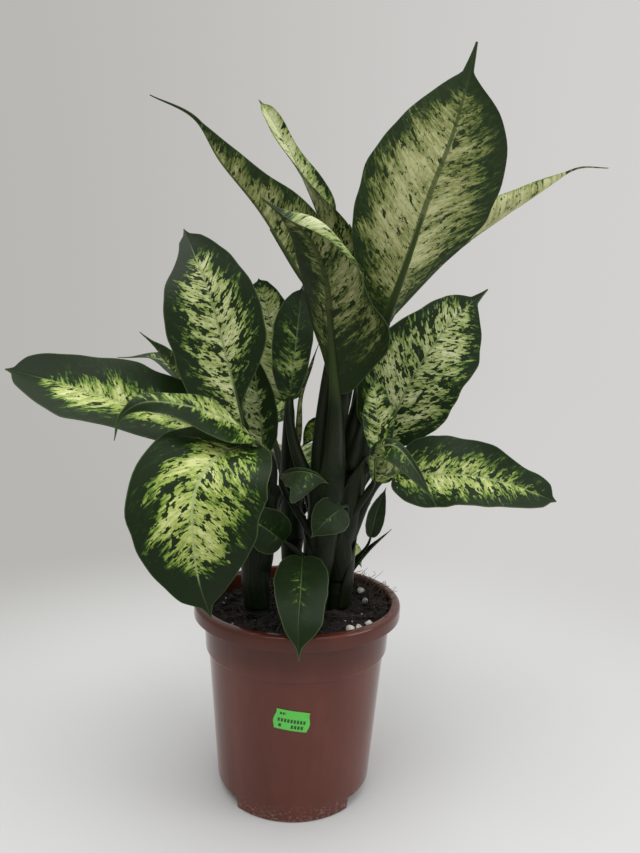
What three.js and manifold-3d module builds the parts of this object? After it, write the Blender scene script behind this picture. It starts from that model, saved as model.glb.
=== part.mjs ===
// A potted dieffenbachia: a plastic nursery pot, its soil, a price label and five leafy shoots.
// Millimetres, +Z up. The viewer stands at -Y and the origin is the middle of the pot's underside.
import * as THREE from "three";
import { mergeVertices } from "three/addons/utils/BufferGeometryUtils.js";
import Module from "manifold-3d";

const wasm = await Module();
wasm.setup();

// Driving dimensions, mm and degrees.
const CLEARANCE = 0.3; // left free wherever two pieces rest on each other
const SEAT = 0.35; // a cane is grown by this much to cut the hole or the seat that it stands in
const BLADE = 1; // thickness of a leaf's blade

const POT = {
  height: 156,
  lipRadius: 85,
  lipHeight: 11,
  mouthRadius: 76,
  collarTopRadius: 76.6,
  collarRadius: 75,
  ledgeHeight: 117,
  neckRadius: 72.5, // outside of the body just under the ledge
  footRadius: 62.8,
  footWidth: 3.4,
  wall: 1.6,
  floorHeight: 9,
  floorThickness: 2,
  hubRadius: 14,
  gapHalfWidth: 46, // the wall is raised between the two feet, at both sides of the pot
  drainRadius: 4.5,
  drainCircle: 42,
  drains: 8,
  segments: 40,
};

const SOIL = { level: 145, rise: [5, 4], relief: 1.5, rings: 4, segments: 32 };

const LABEL = { length: 26, height: 16, thickness: 0.6, level: 86, bearing: -91.6, tilt: -8, steps: 8 };

// Canes: route from the buried end up, and the radius at the foot and at the top.
const CANES = {
  left: { route: [[-31, -10, 118], [-34, -9, 185], [-31, -8, 236]], radius: [11, 7] },
  middle: { route: [[14, -15, 118], [16, -14, 185], [20, -13, 236]], radius: [10, 7] },
  tall: { route: [[33, -4, 118], [33, -3, 190], [36, 2, 264]], radius: [11, 8] },
  back: { route: [[-4, 30, 118], [-6, 34, 190], [-8, 38, 232]], radius: [7.5, 5.5] },
  sprout: { route: [[38, 40, 130], [42, 42, 158], [46, 43, 172]], radius: [4.5, 3.5] },
};

// Stalks: each clasps its cane, bends to the leaf's neck and runs on under the rib.
const STALK = {
  sheath: 0.4, // thicker by this share at the cane
  neck: 0.65, // thickness at the neck, as a share of the stalk's
  end: 0.3, // thickness at the end under the rib, as a share of the neck's
  underRib: [0, 0.12, 0.26, 0.4], // where it passes under the rib, as fractions of the rib
  foot: 0.65, // distance from the cane's middle, as a share of the cane's radius
  lean: 0.45, // outward for each 1 upward, where it leaves the cane
  reach: 0.35, // how far the bends at both ends act, as a share of the distance
  sides: 6,
};

// Leaves.
// stalk: the cane it grows from, how far up the cane's route, the bearing it leaves on, and its radius.
// rib: the midrib from neck to tip. face: where the upper face looks, at the neck and at the tip.
// width: across the blade, and halves: each half's share of that. widest: where along the rib.
// base, taper: 0.5 is round and 1 pointed. tip: the drawn-out tip's share of the rib.
// bumps: changes of the outline, as [half, place along the rib, share of the width, breadth], where half
// is 0 for the left one and 1 for the right one.
// lobe: how far the base reaches back past the neck, as a share of the rib.
// left, right: each half's rise off the rib and its bend on to the margin, [rise, bend] at the neck and
// at the tip; a bend above 0 curls to the upper face. wave: height and count of the margin's waves.
// cells: quads along and across the blade.
const EVEN = { halves: [1, 1], base: 0.5, bumps: [] };
const LARGE = { ...EVEN, widest: 0.42, taper: 0.9, tip: 0.1, lobe: 0.12, wave: [2, 2], cells: [10, 4] };
const MEDIUM = { ...EVEN, widest: 0.42, taper: 0.9, tip: 0.1, lobe: 0.08, wave: [1, 1.5], cells: [8, 4] };
const SMALL = { ...EVEN, widest: 0.4, taper: 1, tip: 0.08, lobe: 0.05, wave: [0.5, 1], cells: [6, 2] };
const OPEN = [[14, 6], [8, 4]];
const FOLDED = [[45, 0], [35, 0]];

const LEAVES = {
  top_right: {
    ...LARGE, stalk: ["tall", 0.98, 15, 4.2], width: 126, widest: 0.54, taper: 0.68, base: 0.9,
    left: [[55, 0], [0, 0]], right: [[28, 0], [20, 0]],
    halves: [1, 0.95], bumps: [[0, 0.12, -0.45, 0.18], [0, 0.9, -0.45, 0.07]],
    rib: [[70, 38, 390], [84, 26, 436], [98, 14, 487], [115, 6, 540], [127, 0, 600]],
    face: [[-0.1, 1, 0.1], [0.1, 1, 0.1]],
  },
  far_right: {
    ...LARGE, stalk: ["tall", 0.82, 68, 3.3], width: 50, widest: 0.6, tip: 0.14,
    left: [[45, 0], [0, 0]], right: [[30, 40], [0, 190]],
    halves: [0.8, 1.25],
    rib: [
      [77, 55, 396], [131, 80, 451], [186, 102, 493], [232, 111, 527], [257, 111, 541], [285, 110, 542],
    ],
    face: [[-0.3, 0.5, 0.75], [-0.3, -0.9, 0.2]],
  },
  top_left: {
    ...LARGE, stalk: ["tall", 0.98, 205, 3.8], width: 68, tip: 0.18,
    left: [[50, 0], [40, 10]], right: [[50, 0], [40, 0]],
    bumps: [[0, 0.6, -0.25, 0.1], [0, 0.4, 0.15, 0.1]],
    rib: [[28, 28, 388], [-3, 30, 421], [-39, 25, 472], [-71, 15, 508], [-91, 6, 537], [-124, 0, 551]],
    face: [[0.7, 0.35, 0.5], [0.5, 0.3, 0.8]],
  },
  top_curled: {
    ...LARGE, stalk: ["tall", 0.92, 134, 3.2], width: 50, widest: 0.5, taper: 0.5, tip: 0.03,
    left: [[30, 0], [20, 30]], right: [[30, 0], [20, 30]],
    bumps: [[0, 0.65, -0.2, 0.12], [1, 0.78, -0.6, 0.2]],
    rib: [[39, 55, 395], [20, 60, 453], [-2, 62, 504], [-25, 62, 545], [-45, 62, 574]],
    face: [[0.2, 1, 0.2], [0.2, -1.2, 0.7]],
  },
  top_hidden: {
    ...LARGE, stalk: ["tall", 0.68, 100, 2.8], width: 60,
    left: OPEN, right: OPEN,
    rib: [[64, 95, 382], [55, 105, 434], [40, 112, 482]],
    face: [[-0.2, -1, 0.1], [-0.2, -1, 0.1]],
  },
  front_upright: {
    ...LARGE, stalk: ["middle", 0.98, 290, 5.2], width: 104, base: 0.7, lobe: 0.08, cells: [12, 8],
    left: [[4, -30], [10, -170]], right: [[60, 60], [10, 20]],
    halves: [1.08, 0.7], bumps: [[0, 0.1, -0.3, 0.14], [0, 0.47, -0.22, 0.1], [0, 0.86, 0.7, 0.13]],
    rib: [[25, -8, 326], [21, -18, 366], [15, -28, 412], [0, -40, 442], [-33, -52, 465]],
    face: [[0, 1, 0.1], [0, 0.7, 0.7]],
  },
  left_upright: {
    ...LARGE, stalk: ["left", 0.98, 215, 4], width: 82, widest: 0.5, taper: 0.75, tip: 0.04,
    left: OPEN, right: OPEN,
    halves: [0.93, 0.87], bumps: [[0, 0.88, -0.35, 0.12], [1, 0.13, -0.9, 0.17]],
    rib: [[-45, -25, 298], [-56, -26, 340], [-72, -22, 395], [-86, -10, 428], [-98, 5, 452]],
    face: [[0, -1, 0.25], [0, -1, 0.25]],
  },
  left_flat: {
    ...LARGE, stalk: ["left", 0.74, 165, 3.8], width: 84, widest: 0.6, taper: 0.55, tip: 0.03,
    left: [[18, 0], [14, 0]], right: [[25, 0], [22, 0]],
    bumps: [[1, 0.78, -0.3, 0.2], [1, 0.42, -0.2, 0.15], [0, 0.75, 0.15, 0.1], [0, 0.5, -0.1, 0.12]],
    rib: [[-53, -5, 288], [-87, -25, 300], [-128, -42, 314], [-169, -50, 328], [-212, -58, 339]],
    face: [[0.1, -0.6, 0.8], [0.1, -0.6, 0.8]],
  },
  left_arching: {
    ...LARGE, stalk: ["left", 0.92, 305, 3], width: 56, tip: 0.14,
    left: [[-35, 0], [-60, 0]], right: [[40, 0], [40, 0]],
    halves: [0.55, 0.42], bumps: [[0, 0.35, 0.35, 0.15], [1, 0.82, 0.6, 0.14]],
    rib: [
      [-28, -40, 285], [-45, -58, 302], [-71, -78, 316],
      [-102, -90, 321], [-119, -97, 312], [-124, -98, 295],
    ],
    face: [[-0.2, 0.2, 0.9], [0, -0.5, 0.9]],
  },
  left_drooping: {
    ...LARGE, stalk: ["left", 0.72, 262, 4], width: 92, widest: 0.5, taper: 0.8, tip: 0.06, lobe: 0.07,
    left: OPEN, right: OPEN,
    halves: [1, 0.9], bumps: [[0, 0.35, 0.1, 0.12], [1, 0.22, -0.08, 0.12]],
    rib: [
      [-45, -52, 287], [-59, -82, 283], [-70, -98, 263],
      [-71, -103, 237], [-67, -100, 202], [-59, -95, 174],
    ],
    face: [[0, -0.5, 0.85], [0, -1, -0.15]],
  },
  left_behind: {
    ...MEDIUM, stalk: ["left", 0.93, 100, 2.8], width: 38,
    left: FOLDED, right: FOLDED,
    bumps: [[1, 0.8, 0.6, 0.2]],
    rib: [[-64, 40, 280], [-108, 50, 331], [-131, 54, 359], [-145, 55, 372]],
    face: [[0.5, 0.6, 0.6], [0.5, 0.6, 0.6]],
  },
  left_far: {
    ...MEDIUM, stalk: ["back", 0.7, 160, 2.6], width: 40,
    left: OPEN, right: OPEN,
    rib: [[-82, 85, 303], [-133, 105, 346], [-181, 115, 349]],
    face: [[0.3, -0.3, 0.9], [0, -0.2, 1]],
  },
  speckled: {
    ...MEDIUM, stalk: ["back", 0.97, 200, 2.8], width: 46, taper: 0.55, tip: 0.02,
    left: OPEN, right: OPEN,
    rib: [[-11, 42, 317], [-25, 52, 368], [-42, 60, 422]],
    face: [[0, -1, 0.1], [0, -1, 0.1]],
  },
  middle_dark: {
    ...MEDIUM, stalk: ["middle", 0.9, 130, 3.4], width: 38, widest: 0.6, taper: 0.6, tip: 0.04,
    left: OPEN, right: OPEN,
    halves: [1.05, 0.72],
    rib: [[-11, 12, 320], [-7, 22, 366], [-3, 34, 414]],
    face: [[0, -1, 0], [0, -1, 0]],
  },
  left_narrow: {
    ...MEDIUM, stalk: ["left", 0.88, 35, 2.6], width: 30,
    left: OPEN, right: OPEN,
    rib: [[-31, 8, 275], [-37, 12, 318], [-43, 18, 363]],
    face: [[0, -1, 0], [0, -1, 0]],
  },
  middle_edge_on: {
    ...MEDIUM, stalk: ["back", 0.9, 20, 2.4], width: 24,
    left: OPEN, right: OPEN,
    halves: [0.6, 1],
    rib: [[-4, 27, 275], [-2, 27, 322], [12, 28, 365]],
    face: [[1, 0.2, 0.2], [1, 0.2, 0.2]],
  },
  right_upright: {
    ...LARGE, stalk: ["tall", 0.85, 354, 3.8], width: 88, widest: 0.52, taper: 0.75, lobe: 0.04,
    left: OPEN, right: OPEN,
    bumps: [[0, 0.68, -0.26, 0.2], [1, 0.45, -0.14, 0.14]],
    rib: [[71, 14, 285], [81, 9, 321], [101, 4, 361], [125, 9, 392], [150, 16, 414]],
    face: [[0, -1, 0.1], [0, -1, 0.1]],
  },
  right_narrow: {
    ...MEDIUM, stalk: ["tall", 0.9, 310, 2.4], width: 26,
    left: OPEN, right: OPEN,
    rib: [[62, -12, 281], [59, -10, 315], [57, -8, 345]],
    face: [[0.2, -1, 0], [0.2, -1, 0]],
  },
  right_flat: {
    ...LARGE, stalk: ["tall", 0.6, 350, 3.8], width: 72, widest: 0.42, taper: 0.6, tip: 0.03,
    left: OPEN, right: OPEN,
    bumps: [[0, 0.55, -0.2, 0.25], [0, 0.76, -0.3, 0.12], [1, 0.7, -0.2, 0.3]],
    rib: [[79, -4, 263], [104, -18, 264], [130, -30, 266], [159, -42, 262], [191, -54, 252]],
    face: [[0, -0.8, 0.6], [0, -0.8, 0.6]],
  },
  right_scrolled: {
    ...MEDIUM, stalk: ["tall", 0.66, 292, 2.6], width: 34,
    left: OPEN, right: OPEN,
    halves: [0.3, 1.3],
    rib: [[58, -20, 259], [57, -42, 285], [68, -56, 291], [82, -66, 276], [98, -70, 250]],
    face: [[-0.2, -1, 0], [0.6, -0.5, 0.6]],
  },
  over_the_rim: {
    ...MEDIUM, stalk: ["middle", 0.5, 265, 2.4], width: 40,
    left: OPEN, right: OPEN,
    bumps: [[0, 0.8, 0.55, 0.15]],
    rib: [[3, -35, 199], [2, -72, 183], [1, -90, 168], [2, -98, 145]],
    face: [[0, -0.7, 0.7], [0, -1, 0.3]],
  },
  low_left: {
    ...MEDIUM, stalk: ["middle", 0.55, 215, 2.2], width: 34,
    left: OPEN, right: OPEN,
    rib: [[-13, -25, 209], [-31, -42, 227], [-50, -52, 238]],
    face: [[0, -1, 0.3], [0, -1, 0.3]],
  },
  low_arching: {
    ...MEDIUM, stalk: ["middle", 0.7, 240, 2.4], width: 34, lobe: 0,
    left: OPEN, right: OPEN,
    halves: [0.2, 1.3], bumps: [[1, 0.15, -0.5, 0.3], [1, 0.78, 1.9, 0.13]],
    rib: [[-14, -13, 261], [0, -30, 266], [11, -38, 265], [21, -40, 259]],
    face: [[0, -0.8, 0.6], [0, -0.8, 0.6]],
  },
  low_middle: {
    ...SMALL, stalk: ["tall", 0.45, 235, 2.2], width: 30,
    left: OPEN, right: OPEN,
    rib: [[33, -28, 238], [20, -37, 229], [9, -42, 217]],
    face: [[0, -1, 0.3], [0, -1, 0.3]],
  },
  sprout_upright: {
    ...SMALL, stalk: ["sprout", 0.85, 290, 1.4], width: 16,
    left: OPEN, right: OPEN,
    rib: [[61, 15, 203], [65, 14, 225], [72, 12, 247]],
    face: [[0.2, -1, 0.2], [0.2, -1, 0.2]],
  },
  sprout_pale: {
    ...SMALL, stalk: ["sprout", 0.9, 100, 1.2], width: 11,
    left: OPEN, right: OPEN,
    rib: [[44, 42, 188], [51, 44, 211], [63, 46, 226]],
    face: [[-0.4, -0.8, 0.4], [-0.4, -0.8, 0.4]],
  },
  sprout_spike: {
    ...SMALL, stalk: ["sprout", 0.62, 10, 1.6], width: 7,
    left: FOLDED, right: FOLDED,
    rib: [[50, 37, 170], [62, 33, 186], [80, 28, 207]],
    face: [[-0.5, -0.3, 0.8], [-0.5, -0.3, 0.8]],
  },
  sprout_yellow: {
    ...SMALL, stalk: ["sprout", 0.7, 80, 1.4], width: 15,
    left: OPEN, right: OPEN,
    rib: [[42, 60, 183], [53, 70, 172], [60, 76, 157]],
    face: [[-0.3, -0.8, 0.5], [0.3, -0.8, 0.5]],
  },
  olive: {
    ...SMALL, stalk: ["back", 0.8, 340, 1.8], width: 22,
    left: OPEN, right: OPEN,
    rib: [[30, 36, 283], [14, 44, 293], [0, 50, 274]],
    face: [[0, -0.7, 0.7], [0, -0.7, 0.7]],
  },
  back_left: {
    ...LARGE, stalk: ["back", 0.82, 110, 3], width: 70,
    left: OPEN, right: OPEN,
    rib: [[-32, 92, 292], [-55, 135, 340], [-80, 175, 372], [-100, 205, 384]],
    face: [[0.3, -0.4, 0.9], [0, -0.1, 1]],
  },
  back_low: {
    ...LARGE, stalk: ["back", 0.6, 90, 3], width: 62,
    left: OPEN, right: OPEN,
    rib: [[-6, 78, 245], [-8, 115, 262], [-10, 150, 258], [-12, 190, 232]],
    face: [[0, -0.3, 1], [0, 0.5, 0.9]],
  },
  back_right: {
    ...LARGE, stalk: ["tall", 0.5, 60, 3], width: 70,
    left: OPEN, right: OPEN,
    rib: [[74, 70, 312], [92, 112, 350], [110, 152, 376], [126, 190, 380]],
    face: [[-0.3, -0.4, 0.9], [0, -0.1, 1]],
  },
};

// A solid from a three.js geometry: equal vertices become one and flat triangles drop out.
function solid(geometry) {
  const bare = new THREE.BufferGeometry();
  bare.setAttribute("position", geometry.getAttribute("position"));
  bare.setIndex(geometry.index);
  const merged = mergeVertices(bare, 1e-4);
  const corners = merged.index.array;
  const triVerts = [];
  for (let i = 0; i < corners.length; i += 3) {
    const [a, b, c] = corners.slice(i, i + 3);
    if (a !== b && b !== c && c !== a) {
      triVerts.push(a, b, c);
    }
  }
  return new wasm.Manifold(
    new wasm.Mesh({
      numProp: 3,
      vertProperties: merged.getAttribute("position").array,
      triVerts: new Uint32Array(triVerts),
    }),
  );
}

function piece(body, name, colour, roughness) {
  const { vertProperties, triVerts } = body.getMesh();
  const geometry = new THREE.BufferGeometry();
  geometry.setAttribute("position", new THREE.BufferAttribute(vertProperties, 3));
  geometry.setIndex(new THREE.BufferAttribute(triVerts, 1));
  geometry.computeVertexNormals();
  const material = new THREE.MeshStandardMaterial({ color: colour, roughness, metalness: 0 });
  const mesh = new THREE.Mesh(geometry, material);
  mesh.name = name;
  return mesh;
}

// Moves every vertex of a geometry to where place(vertex) puts it.
function displaced(geometry, place) {
  const position = geometry.getAttribute("position");
  const vertex = new THREE.Vector3();
  for (let i = 0; i < position.count; i += 1) {
    vertex.fromBufferAttribute(position, i);
    position.setXYZ(i, ...place(vertex, i));
  }
  return geometry;
}

const wallRadius = (height) =>
  THREE.MathUtils.mapLinear(height, 0, POT.ledgeHeight, POT.footRadius, POT.neckRadius);

// The pot: an L-shaped wall turned round the axis, with a rolled lip, a stepped collar and two feet.
function potBody() {
  const p = POT;
  const lipFoot = p.height - p.lipHeight;
  const profile = [
    [0, 0], [p.hubRadius, 0], [p.hubRadius + 3, p.floorHeight],
    [p.footRadius - p.footWidth - 0.6, p.floorHeight], [p.footRadius - p.footWidth, 0], [p.footRadius, 0],
    [p.neckRadius, p.ledgeHeight], [p.collarRadius, p.ledgeHeight], [p.collarTopRadius, lipFoot],
    [p.mouthRadius + p.wall, p.height - p.wall], [p.lipRadius - p.wall - 0.6, p.height - p.wall],
    [p.lipRadius - p.wall, lipFoot], [p.lipRadius, lipFoot],
    [p.lipRadius, p.height - 2.2], [p.lipRadius - 2.2, p.height], [p.mouthRadius + 0.8, p.height],
    [p.mouthRadius, p.height - 0.8],
    [p.collarTopRadius - p.wall, lipFoot - 2], [p.collarRadius - p.wall, p.ledgeHeight],
    [p.neckRadius - p.wall, p.ledgeHeight - 1.2],
    [wallRadius(p.floorHeight + p.floorThickness) - p.wall, p.floorHeight + p.floorThickness],
    [p.hubRadius + 1.5, p.floorHeight + p.floorThickness], [p.hubRadius - 1.5, p.floorThickness],
    [0, p.floorThickness],
  ];
  const turned = new THREE.LatheGeometry(profile.map(([r, z]) => new THREE.Vector2(r, z)), p.segments);
  let body = solid(turned.rotateX(Math.PI / 2));
  for (const side of [-1, 1]) {
    const gap = new THREE.BoxGeometry(40, 2 * p.gapHalfWidth, 2 * p.floorHeight);
    body = body.subtract(solid(gap.translate(side * (p.footRadius - 4), 0, 0)));
  }
  for (let i = 0; i < p.drains; i += 1) {
    const drain = new THREE.CylinderGeometry(p.drainRadius, p.drainRadius, 20, 12).rotateX(Math.PI / 2);
    const bearing = ((i + 0.5) / p.drains) * 2 * Math.PI;
    drain.translate(p.drainCircle * Math.cos(bearing), p.drainCircle * Math.sin(bearing), p.floorHeight);
    body = body.subtract(solid(drain));
  }
  return body;
}

// Soil level at a point: it climbs to the right and to the back, with low lumps.
function soilLevel(x, y) {
  const slope = (SOIL.rise[0] * x + SOIL.rise[1] * y) / POT.mouthRadius;
  const lumps = Math.sin(x / 6 + 1) * Math.cos(y / 7) + 0.5 * Math.sin(x / 3.1 - y / 4.3);
  return SOIL.level + slope + SOIL.relief * lumps;
}

function soilBody() {
  const inside = POT.wall + CLEARANCE;
  const floor = POT.floorHeight + POT.floorThickness + CLEARANCE;
  const edge = POT.collarRadius - POT.wall + 0.7 - CLEARANCE;
  const profile = [
    [0, floor], [wallRadius(floor) - inside, floor], [POT.neckRadius - inside, POT.ledgeHeight - 1.2],
    [POT.collarRadius - inside, POT.ledgeHeight + CLEARANCE], [edge, POT.ledgeHeight + 18],
  ];
  for (let ring = SOIL.rings; ring >= 0; ring -= 1) {
    profile.push([(edge * ring) / SOIL.rings, SOIL.level]);
  }
  const turned = new THREE.LatheGeometry(profile.map(([r, z]) => new THREE.Vector2(r, z)), SOIL.segments);
  const relief = (v) => [v.x, v.y, v.z > SOIL.level - 1 ? soilLevel(v.x, v.y) : v.z];
  return solid(displaced(turned.rotateX(Math.PI / 2), relief));
}

// The label: a slab turned a little in its own plane and bent round the tapering wall.
function labelBody() {
  const slab = new THREE.BoxGeometry(LABEL.length, LABEL.height, LABEL.thickness, LABEL.steps, 1, 1);
  slab.rotateZ(THREE.MathUtils.degToRad(LABEL.tilt));
  return solid(displaced(slab, (v) => {
    const height = LABEL.level + v.y;
    const radius = wallRadius(height) + CLEARANCE + LABEL.thickness / 2 + v.z;
    const bearing = THREE.MathUtils.degToRad(LABEL.bearing) + v.x / wallRadius(LABEL.level);
    return [radius * Math.cos(bearing), radius * Math.sin(bearing), height];
  }));
}

const vectors = (points) => points.map((p) => new THREE.Vector3(...p));

const curveThrough = (points) => new THREE.CatmullRomCurve3(vectors(points), false, "catmullrom", 0.5);

// A closed tube along a path, with its radius at each fraction of the path.
function tube(path, radiusAt, sides, steps) {
  const frames = path.computeFrenetFrames(steps, false);
  const round = new THREE.CylinderGeometry(1, 1, 1, sides, steps);
  return solid(displaced(round, (v) => {
    const step = Math.round((v.y + 0.5) * steps);
    const radius = radiusAt(step / steps);
    return path.getPointAt(step / steps)
      .addScaledVector(frames.binormals[step], v.x * radius)
      .addScaledVector(frames.normals[step], v.z * radius);
  }));
}

// A cane, grown by the seat's width when it is what cuts a hole.
function caneBody({ route, radius }, grow) {
  const radiusAt = (t) => THREE.MathUtils.lerp(radius[0], radius[1], t) + grow;
  return tube(curveThrough(route), radiusAt, 8, 6);
}

// Half the blade's width at a fraction of the rib: an ellipse up to the widest place, then a cosine, and
// last the drawn-out tip. Bumps fill out or draw in one half's margin.
function halfWidth(leaf, s, side) {
  const ahead = Math.min(s / (1 - leaf.tip), 1);
  const round = ahead < leaf.widest
    ? (1 - (1 - ahead / leaf.widest) ** 2) ** leaf.base
    : Math.cos((Math.PI / 2) * (ahead - leaf.widest) / (1 - leaf.widest)) ** leaf.taper;
  const drawn = 0.2 * Math.min((1 - s) / (2 * leaf.tip), 1) ** 1.4 * Math.min(4 * s, 1);
  let width = (leaf.width / 2) * leaf.halves[side] * Math.hypot(round, 0.015 + 0.06 * (1 - s) + drawn);
  for (const [half, along, amount, breadth] of leaf.bumps) {
    width *= half === side ? 1 + amount * Math.exp(-(((s - along) / breadth) ** 2)) : 1;
  }
  return width;
}

// The rib's place and directions at a fraction of its length.
function ribFrame(leaf, rib, s) {
  const along = rib.getTangentAt(s);
  const up = new THREE.Vector3(...leaf.face[0]).lerp(new THREE.Vector3(...leaf.face[1]), s);
  up.addScaledVector(along, -up.dot(along)).normalize();
  return { at: rib.getPointAt(s), along, up, right: along.clone().cross(up) };
}

// A point of the blade: s runs along the rib and v across it, from -1 to 1. Each half leaves the rib at
// its rise and bends evenly on to the margin, as an arc.
function bladePoint(leaf, rib, s, v) {
  const { at, along, up, right } = ribFrame(leaf, rib, s);
  const half = v < 0 ? leaf.left : leaf.right;
  const rise = THREE.MathUtils.degToRad(THREE.MathUtils.lerp(half[0][0], half[1][0], s));
  const bend = THREE.MathUtils.degToRad(THREE.MathUtils.lerp(half[0][1], half[1][1], s)) || 1e-3;
  const width = halfWidth(leaf, s, v < 0 ? 0 : 1);
  const turned = rise + bend * Math.abs(v);
  const out = (width / bend) * (Math.sin(turned) - Math.sin(rise));
  const lift = (width / bend) * (Math.cos(rise) - Math.cos(turned));
  const [height, count] = leaf.wave;
  const phase = 2 * Math.PI * (count * s + (v < 0 ? 0 : 0.4));
  const wave = height * v * v * Math.sin(phase) * Math.sin(Math.PI * s);
  const back = leaf.lobe * rib.getLength() * Math.abs(v) * 2 * Math.sqrt(s) * (1 - s) ** 3;
  return at
    .addScaledVector(right, Math.sign(v) * out)
    .addScaledVector(up, lift + wave)
    .addScaledVector(along, -back);
}

// The blade: a grid shaped on both faces alike, with a keel under the rib and a wall round the margin.
function bladeBody(leaf, rib, keel) {
  const [rows, columns] = leaf.cells;
  const grid = new THREE.PlaneGeometry(2, 1, columns, rows);
  displaced(grid, (v) => {
    const q = v.y + 0.5;
    return bladePoint(leaf, rib, q - 0.12 * Math.sin(2 * Math.PI * q), v.x); // closer rows at both ends
  });
  grid.computeVertexNormals();
  const place = grid.getAttribute("position");
  const normal = grid.getAttribute("normal");
  const corners = [...grid.index.array];
  const count = place.count;
  const points = [];
  for (const side of [1, -1]) {
    for (let i = 0; i < count; i += 1) {
      const row = Math.floor(i / (columns + 1));
      const onRib = i % (columns + 1) === columns / 2;
      const depth = side * (BLADE / 2) - (side < 0 && onRib ? keel * (row / rows) : 0);
      const shifted = new THREE.Vector3().fromBufferAttribute(place, i);
      shifted.addScaledVector(new THREE.Vector3().fromBufferAttribute(normal, i), depth);
      points.push(...shifted);
    }
  }
  const triangles = [...corners];
  for (let i = 0; i < corners.length; i += 3) {
    triangles.push(corners[i] + count, corners[i + 2] + count, corners[i + 1] + count);
  }
  const margin = [];
  for (let c = 0; c < columns; c += 1) {
    margin.push(c);
  }
  for (let r = 0; r < rows; r += 1) {
    margin.push(r * (columns + 1) + columns);
  }
  for (let c = columns; c > 0; c -= 1) {
    margin.push(rows * (columns + 1) + c);
  }
  for (let r = rows; r > 0; r -= 1) {
    margin.push(r * (columns + 1));
  }
  margin.forEach((a, i) => {
    const b = margin[(i + 1) % margin.length];
    triangles.push(a, b, b + count, a, b + count, a + count);
  });
  const blade = new THREE.BufferGeometry();
  blade.setAttribute("position", new THREE.Float32BufferAttribute(points, 3));
  blade.setIndex(triangles);
  return solid(blade);
}

// The stalk leaves its cane upwards, bends into the neck and runs on under the rib.
function stalkBody(leaf, rib, cane) {
  const [, height, bearing, radius] = leaf.stalk;
  const { at: neck, up, along } = ribFrame(leaf, rib, 0);
  const turn = THREE.MathUtils.degToRad(bearing);
  const out = new THREE.Vector3(Math.cos(turn), Math.sin(turn), 0);
  const foot = curveThrough(cane.route).getPointAt(height);
  foot.addScaledVector(out, STALK.foot * THREE.MathUtils.lerp(cane.radius[0], cane.radius[1], height));
  const end = neck.addScaledVector(up, -radius / 2);
  const reach = foot.distanceTo(end) * STALK.reach;
  const leaving = new THREE.Vector3(0, 0, 1).addScaledVector(out, STALK.lean).setLength(reach);
  const stem = new THREE.CubicBezierCurve3(
    foot,
    foot.clone().add(leaving),
    end.clone().addScaledVector(along, -reach),
    end,
  );
  const under = STALK.underRib.map((s) => {
    const frame = ribFrame(leaf, rib, s);
    return frame.at.addScaledVector(frame.up, -radius * (0.5 - 0.4 * s));
  });
  const path = new THREE.CurvePath();
  path.add(stem);
  path.add(new THREE.CatmullRomCurve3(under));
  const neckAt = stem.getLength() / path.getLength();
  const radiusAt = (t) => {
    const toNeck = Math.min(t / neckAt, 1);
    const past = Math.max(0, (t - neckAt) / (1 - neckAt));
    const sheath = 1 + STALK.sheath * Math.max(0, 1 - 2 * toNeck);
    return radius * sheath * (1 - (1 - STALK.neck) * toNeck) * (1 - (1 - STALK.end) * past);
  };
  return tube(path, radiusAt, STALK.sides, Math.round(0.6 * leaf.cells[0] + 3));
}

// A leaf: blade and stalk as one solid, cut back to the face of its cane.
function leafBody(leaf) {
  const rib = curveThrough(leaf.rib);
  const cane = CANES[leaf.stalk[0]];
  const stalk = stalkBody(leaf, rib, cane);
  const grown = bladeBody(leaf, rib, leaf.stalk[3] * 0.5).add(stalk).subtract(caneBody(cane, SEAT));
  return grown.decompose().sort((a, b) => b.volume() - a.volume())[0];
}

const plant = new THREE.Group();
plant.add(piece(potBody(), "pot", 0x6b4038, 0.45));
plant.add(piece(labelBody(), "label", 0x2fd957, 0.5));
let soil = soilBody();
for (const [name, cane] of Object.entries(CANES)) {
  soil = soil.subtract(caneBody(cane, SEAT));
  plant.add(piece(caneBody(cane, 0), `cane_${name}`, 0x24391f, 0.5));
}
plant.add(piece(soil, "soil", 0x2b201b, 0.95));
for (const [name, leaf] of Object.entries(LEAVES)) {
  plant.add(piece(leafBody(leaf), `leaf_${name}`, 0x3f6a34, 0.4));
}

export default plant;
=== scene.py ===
# Potted dieffenbachia: finer leaves, canes, pot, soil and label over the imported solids.
import math
import random
from functools import partial

import bmesh
import bpy
import numpy as np
from mathutils import Matrix, Vector, noise


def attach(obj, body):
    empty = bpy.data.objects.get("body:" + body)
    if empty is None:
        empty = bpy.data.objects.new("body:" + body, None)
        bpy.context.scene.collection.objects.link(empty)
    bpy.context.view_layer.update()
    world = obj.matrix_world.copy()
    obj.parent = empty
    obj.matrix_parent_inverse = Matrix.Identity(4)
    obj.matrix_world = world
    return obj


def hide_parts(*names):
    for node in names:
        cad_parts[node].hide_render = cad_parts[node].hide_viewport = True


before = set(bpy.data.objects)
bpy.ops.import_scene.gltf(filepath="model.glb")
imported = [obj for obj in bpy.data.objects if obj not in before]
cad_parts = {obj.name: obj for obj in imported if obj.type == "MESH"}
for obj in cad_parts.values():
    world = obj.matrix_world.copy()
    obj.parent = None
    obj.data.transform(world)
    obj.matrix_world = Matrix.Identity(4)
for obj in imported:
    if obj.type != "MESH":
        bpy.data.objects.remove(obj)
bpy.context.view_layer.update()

mm = 0.001
up3 = np.array([0.0, 0.0, 1.0])
eased = {"interpolation_type": "SMOOTHSTEP"}


def srgb(code):
    # a hex colour as the linear values that sockets want
    parts = [int(code[i:i + 2], 16) / 255 for i in (1, 3, 5)]
    return [p / 12.92 if p <= 0.04045 else ((p + 0.055) / 1.055) ** 2.4 for p in parts] + [1.0]


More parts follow.
